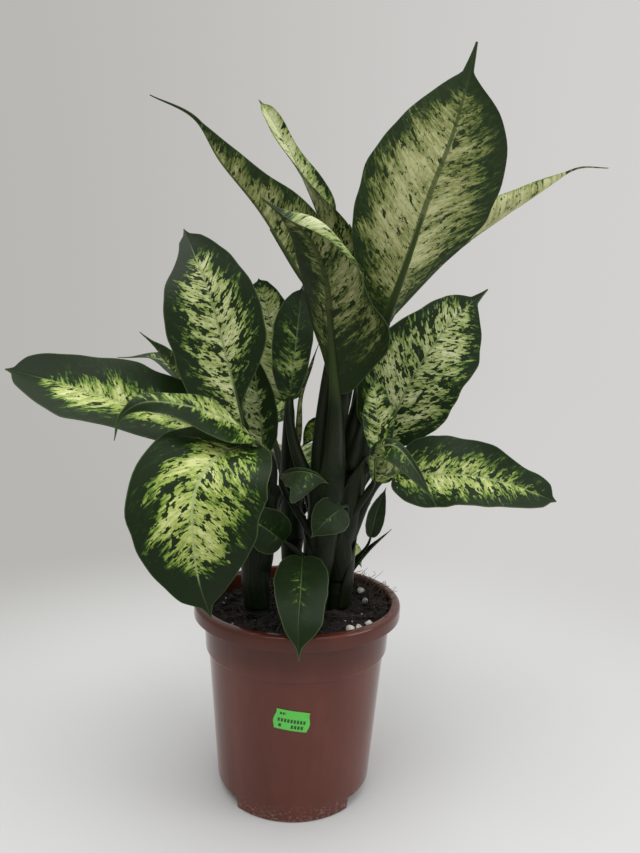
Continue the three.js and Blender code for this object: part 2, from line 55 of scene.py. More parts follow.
def feed(tree, node, inputs):
    # gives each input a value, or a link from a socket or from a node's first output
    for key, value in inputs.items() if isinstance(inputs, dict) else enumerate(inputs):
        if isinstance(value, bpy.types.Node):
            value = value.outputs[0]
        if isinstance(value, bpy.types.NodeSocket):
            tree.links.new(value, node.inputs[key])
        else:
            node.inputs[key].default_value = value


def addNode(tree, kind, inputs=(), stops=(), **settings):
    # one node with its settings and inputs, and for a ramp its stops as (place, colour)
    node = tree.nodes.new("ShaderNode" + kind)
    for name, value in settings.items():
        setattr(node, name, value)
    feed(tree, node, inputs)
    for i, (place, code) in enumerate(stops):
        elements = node.color_ramp.elements
        element = elements[i] if i < 2 else elements.new(place)
        element.position, element.color = place, srgb(code)
    return node


def addLumps(add, place, size, detail, roughness=0.6):
    # noise whose lumps have the given width, height and depth
    scaled = add("Mapping", {"Vector": place, "Scale": [1 / part for part in size]})
    return add("TexNoise", {"Vector": scaled, "Scale": 1, "Detail": detail, "Roughness": roughness})


def newMaterial(name):
    # a material, a way to add nodes to it, and a way to feed its shader
    material = bpy.data.materials.new(name)
    material.use_nodes = True
    tree = material.node_tree
    return material, partial(addNode, tree), partial(feed, tree, tree.nodes["Principled BSDF"])


def newObject(name, data):
    made = bpy.data.objects.new(name, data)
    bpy.context.scene.collection.objects.link(made)
    return made


def finishPiece(name, bm, materials, nodes=()):
    # a mesh becomes a piece of the object, standing for its CAD nodes
    mesh = bpy.data.meshes.new(name)
    for face in bm.faces:
        face.smooth = True
    bm.to_mesh(mesh)
    bm.free()
    piece = newObject(name, mesh)
    for material in materials:
        mesh.materials.append(material)
    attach(piece, "root")
    if nodes:
        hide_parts(*nodes)
    return piece


def mix(pair, s):
    return pair[0] + (pair[1] - pair[0]) * s


def unit(vectors):
    return vectors / np.linalg.norm(vectors, axis=-1, keepdims=True)


def outward(turn):
    return np.array([math.cos(turn), math.sin(turn), 0])


def curveThrough(points, steps=80):
    # smooth curve through points, read evenly by fraction of its length
    route = np.array(points, float)
    route = np.vstack([2 * route[0] - route[1], route, 2 * route[-1] - route[-2]])
    t = np.linspace(0, 1, steps, endpoint=False)[:, None]
    spans = []
    for a, b, c, d in zip(route, route[1:], route[2:], route[3:]):
        leave, arrive = (c - a) / 2, (d - b) / 2
        spans.append((2 * t**3 - 3 * t**2 + 1) * b + (t**3 - 2 * t**2 + t) * leave
                     + (3 * t**2 - 2 * t**3) * c + (t**3 - t**2) * arrive)
    return evenCurve(np.vstack(spans + [route[-2:-1]]))


def evenCurve(samples):
    # place and heading at any fraction of a line's length, and that length
    gaps = np.linalg.norm(np.diff(samples, axis=0), axis=1)
    run = np.concatenate([[0], np.cumsum(gaps)])
    headings = unit(np.gradient(samples, run, axis=0))

    def at(s):
        where = np.asarray(s) * run[-1]
        place = np.stack([np.interp(where, run, samples[:, i]) for i in range(3)], -1)
        heading = np.stack([np.interp(where, run, headings[:, i]) for i in range(3)], -1)
        return place, unit(heading)

    return at, run[-1]


def framesAlong(at, steps, last):
    # even fractions of a route, and its centres, headings and normals there: each normal is turned as
    # little as possible from the next one, and the end's lies nearest to last
    fractions = np.linspace(0, 1, steps + 1)
    centres, headings = at(fractions)
    normals = []
    for heading in headings[::-1]:
        last = unit(last - heading * (last @ heading))
        normals.append(last)
    return fractions, (centres, headings, np.array(normals[::-1]))


def addTube(bm, frames, radiusAt, sides, material=0):
    # a grid rolled round a route; radiusAt(step, turn) may shape the section
    centres, headings, normals = frames
    steps = len(centres) - 1
    binormals = np.cross(headings, normals)
    made = bmesh.ops.create_grid(bm, x_segments=sides, y_segments=steps, size=1)["verts"]
    faces = {face for vertex in made for face in vertex.link_faces}
    for vertex in made:
        step = round((vertex.co.y + 1) / 2 * steps)
        turn = math.tau * (round((vertex.co.x + 1) / 2 * sides) % sides) / sides
        offset = normals[step] * math.cos(turn) + binormals[step] * math.sin(turn)
        vertex.co = Vector((centres[step] + radiusAt(step, turn) * offset) * mm)
    for face in faces:
        face.material_index = material
    bmesh.ops.remove_doubles(bm, verts=made, dist=1e-7)
    alive = [v for v in made if v.is_valid]
    rims = {edge for v in alive for edge in v.link_edges if edge.is_boundary}
    caps = bmesh.ops.holes_fill(bm, edges=list(rims), sides=0)["faces"]
    for face in caps:
        face.material_index = material
    return alive


# Camera: its distance and height in metres, its tilts in degrees, and its focal length in pixels of the
# photograph, which is 853 high.
view = {
    "distance": 0.534, "height": 0.352, "yaw": 1.55, "down": 5.75, "roll": 1.68, "focal": 660, "tall": 853,
}


def placeCamera():
    data = bpy.data.cameras.new("camera")
    data.sensor_width = 36  # of an upright picture this is the height
    data.lens = data.sensor_width * view["focal"] / view["tall"]
    camera = newObject("camera", data)
    yaw, down, roll = (math.radians(view[k]) for k in ("yaw", "down", "roll"))
    turn = Matrix.Rotation(-yaw, 4, "Z") @ Matrix.Rotation(math.pi / 2 - down, 4, "X")
    turn = turn @ Matrix.Rotation(roll, 4, "Z")
    camera.matrix_world = Matrix.Translation((0, -view["distance"], view["height"])) @ turn
    bpy.context.scene.camera = camera


placeCamera()
bpy.context.scene.view_settings.view_transform = "Standard"


# Leaves, in millimetres and degrees. What a user would change:
# stalk: the cane it grows from, how far up that, the bearing it leaves on, and its radius.
# rib: the midrib from neck to tip. face: where the upper face looks, at the neck and at the tip.
# width: across the blade, and halves: each half's share of that. widest: where along the rib.
# base, taper: 0.5 is round and 1 pointed. tip: the drawn-out tip's share of the rib.
# drawn: how broad that tip starts, and how fast it narrows. blunt: least breadth at the tip and neck.
# bumps: changes of the outline as [half, along, share of the width, breadth].
# lobe: how far the base reaches back. wave: height and count of the margin's waves. rows: of the mesh.
# left, right: each half's rise off the rib and its bend on to the margin, at the neck and at the tip.
# margin: width of the dark border. soft: how far it feathers in. tipFrom: where the dark tip begins.
# pale: more or less cream. fleck: how freckled. warm: from cream at 0 to yellow green at 1.
# ribWidth: of the midrib's line on the upper face and of its keel on the lower face, at the neck.
# patches and shade: paler or darker areas, some of them painted shade, as [along 0..1, across -1..1,
# length, breadth, amount].
# stout: how much thicker than its radius the stalk is at the cane, and neck: its share at the neck.
opened = [[14, 6], [8, 4]]
folded = [[45, 0], [35, 0]]
outline = {
    "halves": [1, 1], "base": 0.5, "drawn": [0.2, 1.4], "blunt": [0.015, 0.075], "bumps": [],
    "left": opened, "right": opened, "patchesAndShade": [], "tipFrom": 0.85, "ribWidth": [2.2, 4.2],
    "stout": 0.8, "neck": 0.65,
}
large = {**outline, "widest": 0.42, "taper": 0.9, "tip": 0.1, "lobe": 0.12, "wave": [2, 2], "rows": 84}
medium = {**large, "lobe": 0.08, "wave": [1, 1.5], "rows": 56}
small = {**outline, "widest": 0.4, "taper": 1, "tip": 0.08, "lobe": 0.05, "wave": [0.5, 1], "rows": 32}
small["ribWidth"] = [0.8, 1.6]
bright = {"margin": 9, "soft": 10, "pale": 0.25, "fleck": 0.8, "warm": 0.4}
mellow = {"margin": 8, "soft": 12, "pale": 0, "fleck": 0.7, "warm": 0.3}
dull = {"margin": 5, "soft": 9, "pale": -0.25, "fleck": 0.8, "warm": 0.3}
dark = {"margin": 6, "soft": 12, "pale": -1.4, "fleck": 0.5, "warm": 0.2}
plain = {"margin": 0, "soft": 3, "pale": -0.35, "fleck": 0.2, "warm": 0.9}
leaves = {
    "top_right": {
        **large, **mellow, "stalk": ["tall", 0.98, 15, 4.2], "width": 126, "widest": 0.54,
        "taper": 0.68, "base": 0.9, "halves": [1, 0.95],
        "bumps": [[0, 0.12, -0.45, 0.18], [0, 0.9, -0.45, 0.07]], "left": [[55, 0], [0, 0]],
        "right": [[28, 0], [20, 0]],
        "rib": [[70, 38, 390], [84, 26, 436], [98, 14, 487], [115, 6, 540], [127, 0, 600]],
        "face": [[-0.1, 1, 0.1], [0.1, 1, 0.1]], "margin": 12, "soft": 17, "tipFrom": 0.78,
        "ribWidth": [1.6, 6.5], "stout": 1.7, "neck": 0.9,
        "patchesAndShade": [[0.45, 0.3, 50, 22, 0.8], [0.3, -0.3, 40, 20, 0.5], [0.7, -0.8, 50, 25, -0.7]],
    },
    "far_right": {
        **large, **bright, "stalk": ["tall", 0.82, 68, 3.3], "width": 50, "widest": 0.6, "tip": 0.14,
        "halves": [0.8, 1.25], "left": [[45, 0], [0, 0]], "right": [[30, 40], [0, 190]],
        "rib": [[77, 55, 396], [131, 80, 451], [186, 102, 493],
                [232, 111, 527], [257, 111, 541], [285, 110, 542]],
        "face": [[-0.3, 0.5, 0.75], [-0.3, -0.9, 0.2]], "margin": 1, "soft": 6, "pale": 0.9,
        "warm": 0.3, "tipFrom": 0.9,
    },
    "top_left": {
        **large, **mellow, "stalk": ["tall", 0.98, 205, 3.8], "width": 68, "tip": 0.18,
        "bumps": [[0, 0.6, -0.25, 0.1], [0, 0.4, 0.15, 0.1]], "left": [[50, 0], [40, 10]],
        "right": [[50, 0], [40, 0]],
        "rib": [[28, 28, 388], [-3, 30, 421], [-39, 25, 472],
                [-71, 15, 508], [-91, 6, 537], [-124, 0, 551]],
        "face": [[0.7, 0.35, 0.5], [0.5, 0.3, 0.8]], "margin": 6, "soft": 10, "stout": 1.8, "neck": 0.8,
    },
    "top_curled": {
        **large, **bright, "stalk": ["tall", 0.92, 134, 3.2], "width": 50, "widest": 0.5, "taper": 0.5,
        "tip": 0.03, "bumps": [[0, 0.65, -0.2, 0.12], [1, 0.78, -0.6, 0.2]],
        "left": [[30, 0], [20, 30]], "right": [[30, 0], [20, 30]],
        "rib": [[39, 55, 395], [20, 60, 453], [-2, 62, 504], [-25, 62, 545], [-45, 62, 574]],
        "face": [[0.2, 1, 0.2], [0.2, -1.2, 0.7]], "margin": 2, "soft": 7, "pale": 0.4, "warm": 0.15,
        "tipFrom": 1.2, "patchesAndShade": [[0.85, 0, 30, 40, 1.0]],
    },
    "top_hidden": {
        **large, **bright, "stalk": ["tall", 0.68, 100, 2.8], "width": 60,
        "rib": [[64, 95, 382], [55, 105, 434], [40, 112, 482]], "face": [[-0.2, -1, 0.1]], "margin": 4,
        "soft": 8,
    },
    "front_upright": {
        **large, **mellow, "stalk": ["middle", 0.98, 290, 5.2], "width": 104, "base": 0.7, "lobe": 0.08,
        "halves": [1.08, 0.7],
        "bumps": [[0, 0.1, -0.3, 0.14], [0, 0.47, -0.22, 0.1], [0, 0.86, 0.7, 0.13]],
        "left": [[4, -30], [10, -170]], "right": [[60, 60], [10, 20]],
        "rib": [[25, -8, 326], [21, -18, 366], [15, -28, 412], [0, -40, 442], [-33, -52, 465]],
        "face": [[0, 1, 0.1], [0, 0.7, 0.7]], "margin": 6, "soft": 12, "pale": -0.1, "warm": 0.1,
        "stout": 1.3, "neck": 0.9, "ribWidth": [2, 7],
        # the first of these patches is painted shadow over the base of the left half
        "patchesAndShade": [[0.1, -0.5, 32, 44, -1.8], [0.82, -0.9, 34, 22, 1.5], [0.6, 0.75, 60, 22, -1.4]],
    },
    "left_upright": {
        **large, **bright, "stalk": ["left", 0.98, 215, 4], "width": 82, "widest": 0.5, "taper": 0.75,
        "tip": 0.04, "halves": [0.93, 0.87], "bumps": [[0, 0.88, -0.35, 0.12], [1, 0.13, -0.9, 0.17]],
        "rib": [[-45, -25, 298], [-56, -26, 340], [-72, -22, 395], [-86, -10, 428], [-98, 5, 452]],
        "face": [[0, -1, 0.25]], "margin": 15, "soft": 9, "pale": 0.5, "fleck": 1.35, "warm": 0.36,
        "ribWidth": [2.6, 4.5], "tipFrom": 0.8, "stout": 1.2,
    },
    "left_flat": {
        **large, **bright, "stalk": ["left", 0.74, 165, 3.8], "width": 84, "widest": 0.6, "taper": 0.55,
        "tip": 0.03,
        "bumps": [[1, 0.78, -0.3, 0.2], [1, 0.42, -0.2, 0.15], [0, 0.75, 0.15, 0.1], [0, 0.5, -0.1, 0.12]],
        "left": [[18, 0], [14, 0]], "right": [[25, 0], [22, 0]],
        "rib": [[-53, -5, 288], [-87, -25, 300], [-128, -42, 314], [-169, -50, 328], [-212, -58, 339]],
        "face": [[0.1, -0.6, 0.8]], "margin": 21, "soft": 9, "warm": 0.75, "tipFrom": 0.78,
    },
    "left_arching": {
        **large, **bright, "stalk": ["left", 0.92, 305, 3], "width": 56, "tip": 0.14,
        "halves": [0.55, 0.42], "bumps": [[0, 0.35, 0.35, 0.15], [1, 0.82, 0.6, 0.14]],
        "left": [[-35, 0], [-60, 0]], "right": [[40, 0], [40, 0]],
        "rib": [[-28, -40, 285], [-45, -58, 302], [-71, -78, 316],
                [-102, -90, 321], [-119, -97, 312], [-124, -98, 295]],
        "face": [[-0.2, 0.2, 0.9], [0, -0.5, 0.9]], "margin": 2, "soft": 8, "pale": 0.5, "warm": 0.5,
        "tipFrom": 0.9, "patchesAndShade": [[0.7, -0.6, 60, 8, -2.6]],
    },
    "left_drooping": {
        **large, **bright, "stalk": ["left", 0.72, 262, 4], "width": 92, "widest": 0.5, "taper": 0.8,
        "tip": 0.06, "lobe": 0.07, "halves": [1, 0.9],
        "bumps": [[0, 0.35, 0.1, 0.12], [1, 0.22, -0.08, 0.12]],
        "rib": [[-45, -52, 287], [-59, -82, 283], [-70, -98, 263],
                [-71, -103, 237], [-67, -100, 202], [-59, -95, 174]],
        "face": [[0, -0.5, 0.85], [0, -1, -0.15]], "margin": 18, "soft": 11, "fleck": 1.1, "warm": 1.0,
        "tipFrom": 0.72, "ribWidth": [3, 4.6],
    },
    "left_behind": {
        **medium, **dull, "stalk": ["left", 0.93, 100, 2.8], "width": 38, "bumps": [[1, 0.8, 0.6, 0.2]],
        "left": folded, "right": folded,
        "rib": [[-64, 40, 280], [-108, 50, 331], [-131, 54, 359], [-145, 55, 372]],
        "face": [[0.5, 0.6, 0.6]], "margin": 8,
    },
    "left_far": {
        **medium, **dull, "stalk": ["back", 0.7, 160, 2.6], "width": 40,
        "rib": [[-82, 85, 303], [-133, 105, 346], [-181, 115, 349]],
        "face": [[0.3, -0.3, 0.9], [0, -0.2, 1]], "margin": 8,
    },
    "speckled": {
        **medium, **bright, "stalk": ["back", 0.97, 200, 2.8], "width": 46, "taper": 0.55, "tip": 0.02,
        "rib": [[-11, 42, 317], [-25, 52, 368], [-42, 60, 422]], "face": [[0, -1, 0.1]], "margin": 2,
        "soft": 6, "warm": 0.1,
    },
    "middle_dark": {
        **medium, **mellow, "stalk": ["middle", 0.9, 130, 3.4], "width": 38, "widest": 0.6,
        "taper": 0.6, "tip": 0.04, "halves": [1.05, 0.72],
        "rib": [[-11, 12, 320], [-7, 22, 366], [-3, 34, 414]], "face": [[0, -1, 0]], "margin": 5,
        "soft": 9, "pale": -0.2, "warm": 0.2, "ribWidth": [1.2, 3], "stout": 1.6,
        # this patch is painted shade over the tip, where the leaf lies in shadow
        "patchesAndShade": [[0.8, 0, 36, 40, -1.3]],
    },
    "left_narrow": {
        **medium, **bright, "stalk": ["left", 0.88, 35, 2.6], "width": 30,
        "rib": [[-31, 8, 275], [-37, 12, 318], [-43, 18, 363]], "face": [[0, -1, 0]], "margin": 1,
        "soft": 5, "fleck": 1.1, "warm": 0.0, "patchesAndShade": [[0.5, 0.9, 70, 10, -2.2]],
    },
    "middle_edge_on": {
        **medium, **bright, "stalk": ["back", 0.9, 20, 2.4], "width": 24, "halves": [0.6, 1],
        "rib": [[-4, 27, 275], [-2, 27, 322], [12, 28, 365]], "face": [[1, 0.2, 0.2]], "margin": 1,
        "soft": 6,
    },
    "right_upright": {
        **large, **bright, "stalk": ["tall", 0.85, 354, 3.8], "width": 88, "widest": 0.52,
        "taper": 0.75, "lobe": 0.04, "bumps": [[0, 0.68, -0.26, 0.2], [1, 0.45, -0.14, 0.14]],
        "rib": [[71, 14, 285], [81, 9, 321], [101, 4, 361], [125, 9, 392], [150, 16, 414]],
        "face": [[0, -1, 0.1]], "margin": 9, "soft": 10, "pale": 0.3, "warm": 0.15, "fleck": 1.3,
        "stout": 1.2,
    },
    "right_narrow": {
        **medium, **dull, "stalk": ["tall", 0.9, 310, 2.4], "width": 26,
        "rib": [[62, -12, 281], [59, -10, 315], [57, -8, 345]], "face": [[0.2, -1, 0]], "margin": 1,
        "soft": 6, "pale": 0.15, "fleck": 1.2, "ribWidth": [0.8, 3],
    },
    "right_flat": {
        **large, **bright, "stalk": ["tall", 0.6, 350, 3.8], "width": 72, "widest": 0.42, "taper": 0.6,
        "tip": 0.03, "bumps": [[0, 0.55, -0.2, 0.25], [0, 0.76, -0.3, 0.12], [1, 0.7, -0.2, 0.3]],
        "rib": [[79, -4, 263], [104, -18, 264], [130, -30, 266], [159, -42, 262], [191, -54, 252]],
        "face": [[0, -0.8, 0.6]], "margin": 13, "soft": 10, "pale": 0.1, "fleck": 1.1, "warm": 0.7,
    },
    "right_scrolled": {
        **medium, **bright, "stalk": ["tall", 0.66, 292, 2.6], "width": 34, "halves": [0.3, 1.3],
        "rib": [[58, -20, 259], [57, -42, 285], [68, -56, 291], [82, -66, 276], [98, -70, 250]],
        "face": [[-0.2, -1, 0], [0.6, -0.5, 0.6]], "margin": 0, "soft": 4, "pale": 0.2, "warm": 0.3,
        "patchesAndShade": [[0.85, 0.4, 40, 20, -2.4]],
    },
    "over_the_rim": {
        **medium, **dark, "stalk": ["middle", 0.5, 265, 2.4], "width": 40,
        "bumps": [[0, 0.8, 0.55, 0.15]],
        "rib": [[3, -35, 199], [2, -72, 183], [1, -90, 168], [2, -98, 145]],
        "face": [[0, -0.7, 0.7], [0, -1, 0.3]], "pale": -1.75, "ribWidth": [0.9, 2.4],
        "patchesAndShade": [[0.42, 0.15, 14, 6, 0.7]],
    },
    "low_left": {
        **medium, **dark, "stalk": ["middle", 0.55, 215, 2.2], "width": 34,
        "rib": [[-13, -25, 209], [-31, -42, 227], [-50, -52, 238]], "face": [[0, -1, 0.3]],
        "ribWidth": [1.2, 3],
    },
    "low_arching": {
        **medium, **dark, "stalk": ["middle", 0.7, 240, 2.4], "width": 34, "lobe": 0,
        "halves": [0.2, 1.3], "bumps": [[1, 0.15, -0.5, 0.3], [1, 0.78, 1.9, 0.13]],
        "rib": [[-14, -13, 261], [0, -30, 266], [11, -38, 265], [21, -40, 259]],
        "face": [[0, -0.8, 0.6]], "ribWidth": [1, 3], "warm": 0.5, "patchesAndShade": [[0.6, 0.5, 20, 12, 0.1]],
    },
    "low_middle": {
        **small, **dark, "stalk": ["tall", 0.45, 235, 2.2], "width": 30,
        "rib": [[33, -28, 238], [20, -37, 229], [9, -42, 217]], "face": [[0, -1, 0.3]],
    },
    "sprout_upright": {
        **small, **dark, "stalk": ["sprout", 0.85, 290, 1.4], "width": 16,
        "rib": [[61, 15, 203], [65, 14, 225], [72, 12, 247]], "face": [[0.2, -1, 0.2]], "pale": -1.0,
        "warm": 0.3, "ribWidth": [1, 3],
    },
    "sprout_pale": {
        **small, **plain, "stalk": ["sprout", 0.9, 100, 1.2], "width": 11,
        "rib": [[44, 42, 188], [51, 44, 211], [63, 46, 226]], "face": [[-0.4, -0.8, 0.4]], "pale": 0.3,
    },
    "sprout_spike": {
        **small, **dark, "stalk": ["sprout", 0.62, 10, 1.6], "width": 7, "left": folded,
        "right": folded, "rib": [[50, 37, 170], [62, 33, 186], [80, 28, 207]],
        "face": [[-0.5, -0.3, 0.8]],
    },
    "sprout_yellow": {
        **small, **plain, "stalk": ["sprout", 0.7, 80, 1.4], "width": 15,
        "rib": [[42, 60, 183], [53, 70, 172], [60, 76, 157]],
        "face": [[-0.3, -0.8, 0.5], [0.3, -0.8, 0.5]], "pale": 0.6,
    },
    "olive": {
        **small, **plain, "stalk": ["back", 0.8, 340, 1.8], "width": 22,
        "rib": [[30, 36, 283], [14, 44, 293], [0, 50, 274]], "face": [[0, -0.7, 0.7]], "pale": -0.6,
    },
    "back_left": {
        **large, **bright, "stalk": ["back", 0.82, 110, 3], "width": 70,
        "rib": [[-32, 92, 292], [-55, 135, 340], [-80, 175, 372], [-100, 205, 384]],
        "face": [[0.3, -0.4, 0.9], [0, -0.1, 1]],
    },
    "back_low": {
        **large, **bright, "stalk": ["back", 0.6, 90, 3], "width": 62,
        "rib": [[-6, 78, 245], [-8, 115, 262], [-10, 150, 258], [-12, 190, 232]],
        "face": [[0, -0.3, 1], [0, 0.5, 0.9]], "margin": 12,
    },
    "back_right": {
        **large, **bright, "stalk": ["tall", 0.5, 60, 3], "width": 70,
        "rib": [[74, 70, 312], [92, 112, 350], [110, 152, 376], [126, 190, 380]],
        "face": [[-0.3, -0.4, 0.9], [0, -0.1, 1]],
    },
}

# Canes, in millimetres: route from the buried end up, and the radius at the foot and at the top.
canes = {
    "left": {"route": [[-31, -10, 118], [-34, -9, 185], [-31, -8, 236]], "radius": [11, 7]},
    "middle": {"route": [[14, -15, 118], [16, -14, 185], [20, -13, 236]], "radius": [10, 7]},
    "tall": {"route": [[33, -4, 118], [33, -3, 190], [36, 2, 264]], "radius": [11, 8]},
    "back": {"route": [[-4, 30, 118], [-6, 34, 190], [-8, 38, 232]], "radius": [7.5, 5.5]},
    "sprout": {"route": [[38, 40, 130], [42, 42, 158], [46, 43, 172]], "radius": [4.5, 3.5]},
}

# Leaf skin: a thin waxy cuticle over soft tissue, so a low broad sheen. Cream cells without green lie
# in streaks along the side veins, broken by dark flecks and blotches. Colours go from dark to pale.
skins = {
    "upper": {
        "cream": [(0.0, "#17270d"), (0.4, "#1e3212"), (0.49, "#3a5320"), (0.58, "#647a3b"),
                  (0.7, "#8b9a5d"), (0.86, "#a9b280"), (1.0, "#c3c8a2")],
        "yellow": [(0.0, "#17270d"), (0.4, "#1e3310"), (0.49, "#3d5d1e"), (0.58, "#6d8834"),
                   (0.7, "#9aad56"), (0.86, "#bbc778"), (1.0, "#d4da98")],
        "ribs": ["#66754c", "#a9b781"], "edge": "#5d7548", "roughness": 0.42,
    },
    "under": {
        "cream": [(0.0, "#233217"), (0.4, "#2f3f1e"), (0.49, "#435329"), (0.58, "#646f3b"),
                  (0.7, "#878d5b"), (0.85, "#a5a778"), (1.0, "#c0c093")],
        "yellow": [(0.0, "#26361a"), (0.41, "#324320"), (0.49, "#4a5e27"), (0.56, "#6a7b38"),
                   (0.7, "#8f9953"), (0.85, "#abb36e"), (1.0, "#c2ca88")],
        "ribs": ["#344320", "#4a5a2b"], "edge": "#5d7548", "roughness": 0.55,
    },
}
veinPatterns = {  # lumps across and along the side veins in mm, detail, roughness
    "streak": (4.4, 21, 4, 0.6),
    "patch": (16, 30, 2, 0.5),
    "mottle": (1.8, 4.2, 2, 0.55),
    "fleck": (2.3, 5.0, 2.5, 0.55),
    "blotch": (7, 10, 3.5, 0.6),
    "relief": (1.2, 2.5, 2, 0.6),
}
stirs = {"streak": 3.8, "patch": 3.0, "mottle": 2.8}  # how far each of these moves the paleness
spots = {  # noise over its level is a spot, sooner where the leaf is dark and where it is freckled
    "fleck": 0.61, "blotch": 0.6, "start": 0.02, "full": 0.05,
    "byPaleness": -0.04, "byFreckles": 0.09, "darkness": -2.4,
}
leafLines = {
    "ribSoft": 0.5,  # mm
    "ribDark": -1.3, "ribShown": (0.15, 0.8),  # how much shows, from this paleness up to 0
    "edge": (0.9, 0.2), "edgeShown": 0.4,  # mm from the margin where the pale edge starts and is full
}
leafLayers = ("leafPlace", "leafLook", "leafRib")


def leafSkin(name, side):
    skin, lines = skins[side], leafLines
    material, add, feedShader = newMaterial(name)
    place, look, rib = (add("Attribute", attribute_name=key).outputs["Vector"] for key in leafLayers)
    paleness, fleck, warm = add("SeparateXYZ", [look]).outputs
    onRib, underRib, fromEdge = add("SeparateXYZ", [rib]).outputs
    seen = {}
    for key, (across, along, detail, roughness) in veinPatterns.items():
        seen[key] = addLumps(add, place, (across, along, 1), detail, roughness)
    # paleness, stirred by streaks, patches and a fine mottle
    pale = paleness
    for key, strength in stirs.items():
        middle = add("Math", [seen[key], 0.5], operation="SUBTRACT")
        pale = add("Math", [middle, strength, pale], operation="MULTIPLY_ADD")
    # dark flecks about 3 mm wide and blotches three times as wide, both commoner towards the border
    found = []
    for key in ("fleck", "blotch"):
        spot = add("Math", [pale, spots["byPaleness"], seen[key]], operation="MULTIPLY_ADD")
        spot = add("Math", [fleck, spots["byFreckles"], spot], operation="MULTIPLY_ADD")
        rim = [spots[key] + spots["start"], spots[key] + spots["full"]]
        found.append(add("MapRange", [spot, *rim], **eased))
    spotted = add("Math", found, operation="MAXIMUM")
    pale = add("Math", [spotted, spots["darkness"], pale], operation="MULTIPLY_ADD")
    # paleness from -2 to 2 runs over the whole of a ramp
    tone = add("Math", [pale, 0.25, 0.5], operation="MULTIPLY_ADD", use_clamp=True)
    ramps = [add("ValToRGB", [tone], skin[key]) for key in ("cream", "yellow")]
    ribTones = [srgb(code) for code in skin["ribs"]]
    # both go from cream to yellow green by warmth
    colour, ribTone = (
        add("Mix", {0: warm, 6: cool, 7: warmer}, data_type="RGBA").outputs[2]
        for cool, warmer in (ramps, ribTones)
    )
    # the rib, and a thin paler edge
    ribbed = onRib if side == "upper" else underRib
    shown = add("MapRange", [paleness, lines["ribDark"], 0, *lines["ribShown"]])
    ribbed = add("MapRange", {0: ribbed, 1: -lines["ribSoft"], 2: lines["ribSoft"], 4: shown}, **eased)
    edge = add("MapRange", [fromEdge, *lines["edge"], 0, lines["edgeShown"]], **eased)
    for cover, tone in ((ribbed, ribTone), (edge, srgb(skin["edge"]))):
        colour = add("Mix", {0: cover, 6: colour, 7: tone}, data_type="RGBA").outputs[2]
    bump = add("Bump", {"Height": seen["relief"], "Strength": 0.25, "Distance": 0.0003})
    feedShader({"Base Color": colour, "Roughness": skin["roughness"], "IOR": 1.45,
                "Specular IOR Level": 0.2, "Normal": bump})
    return material


def stalkSkin(name):
    # stalks and sheaths: a smooth green skin, faintly streaked lengthwise, paler where it becomes the rib.
    # Its very dark green is partly its own colour and partly painted shade among the stems
    material, add, feedShader = newMaterial(name)
    place, look = (add("Attribute", attribute_name=key).outputs["Vector"] for key in leafLayers[:2])
    toNeck = add("SeparateXYZ", [look]).outputs[0]
    streak = addLumps(add, place, (30, 1.6, 1), 3)
    # very dark green: partly the stalk's own colour, partly painted shade
    colour = add("ValToRGB", [streak], [(0.3, "#0c1407"), (0.5, "#121c0b"), (0.72, "#222e14")])
    paler = add("MapRange", [toNeck, 0.85, 1.15], **eased)  # the neck is at 1
    colour = add("Mix", {0: paler, 6: colour, 7: srgb("#35431f")}, data_type="RGBA").outputs[2]
    feedShader({"Base Color": colour, "Roughness": 0.45, "IOR": 1.45, "Specular IOR Level": 0.22})
    return material


leafMaterials = [leafSkin("leafUpperFace", "upper"), leafSkin("leafLowerFace", "under"),
                 stalkSkin("leafStalkAndShade")]
blade = {  # what all blades share
    "thickness": 0.6, "groove": 0.5,  # in mm; the groove runs over the rib
    "keel": 0.75,  # it runs under the rib: its depth as a share of its half width
    "wander": [0.012, 0.008],  # the margin's slow and fast waves, as shares of the width
    "crowdedRows": 0.12, "crowdedColumns": 1.35,  # rows crowd at both ends, columns at the rib
    "veinLean": 0.6, "veinBend": 0.0035,  # side veins leave the rib at about 60 degrees, tipward
    "paleness": [-1.6, 0.8],  # at the margin and inside
    "tipSoft": 0.12, "tipDark": 1.6,  # the dark tip's feathering along the rib, and its strength
    "ribTaper": 0.7,
    "apart": 700,  # mm between the places of two leaves in the pattern, so that no two are alike
}


def halfWidths(leaf, s):
    # of both halves: an ellipse up to the widest place, a cosine to the drawn-out tip, and the bumps
    along = np.minimum(s / (1 - leaf["tip"]), 1)
    rising = np.clip(1 - (1 - along / leaf["widest"]) ** 2, 0, 1) ** leaf["base"]
    past = np.clip((along - leaf["widest"]) / (1 - leaf["widest"]), 0, 1)
    falling = np.clip(np.cos(math.pi / 2 * past), 0, 1) ** leaf["taper"]
    rim = np.where(along < leaf["widest"], rising, falling)
    broad, power = leaf["drawn"]
    drawn = broad * np.minimum((1 - s) / (2 * leaf["tip"]), 1) ** power * np.minimum(4 * s, 1)
    even = leaf["width"] / 2 * np.hypot(rim, mix(leaf["blunt"], 1 - s) + drawn)
    widths = [even * share for share in leaf["halves"]]
    for half, place, amount, breadth in leaf["bumps"]:
        widths[half] = widths[half] * (1 + amount * np.exp(-((s - place) / breadth) ** 2))
    return widths


def ribFrame(leaf, rib, s):
    # place, heading, and the ways up and right, at fractions of the rib
    place, along = rib(s)
    ends = [np.array(leaf["face"][i], float) for i in (0, -1)]
    facing = mix(ends, np.asarray(s)[..., None])
    up = unit(facing - along * np.sum(facing * along, -1, keepdims=True))
    return place, along, up, np.cross(along, up)


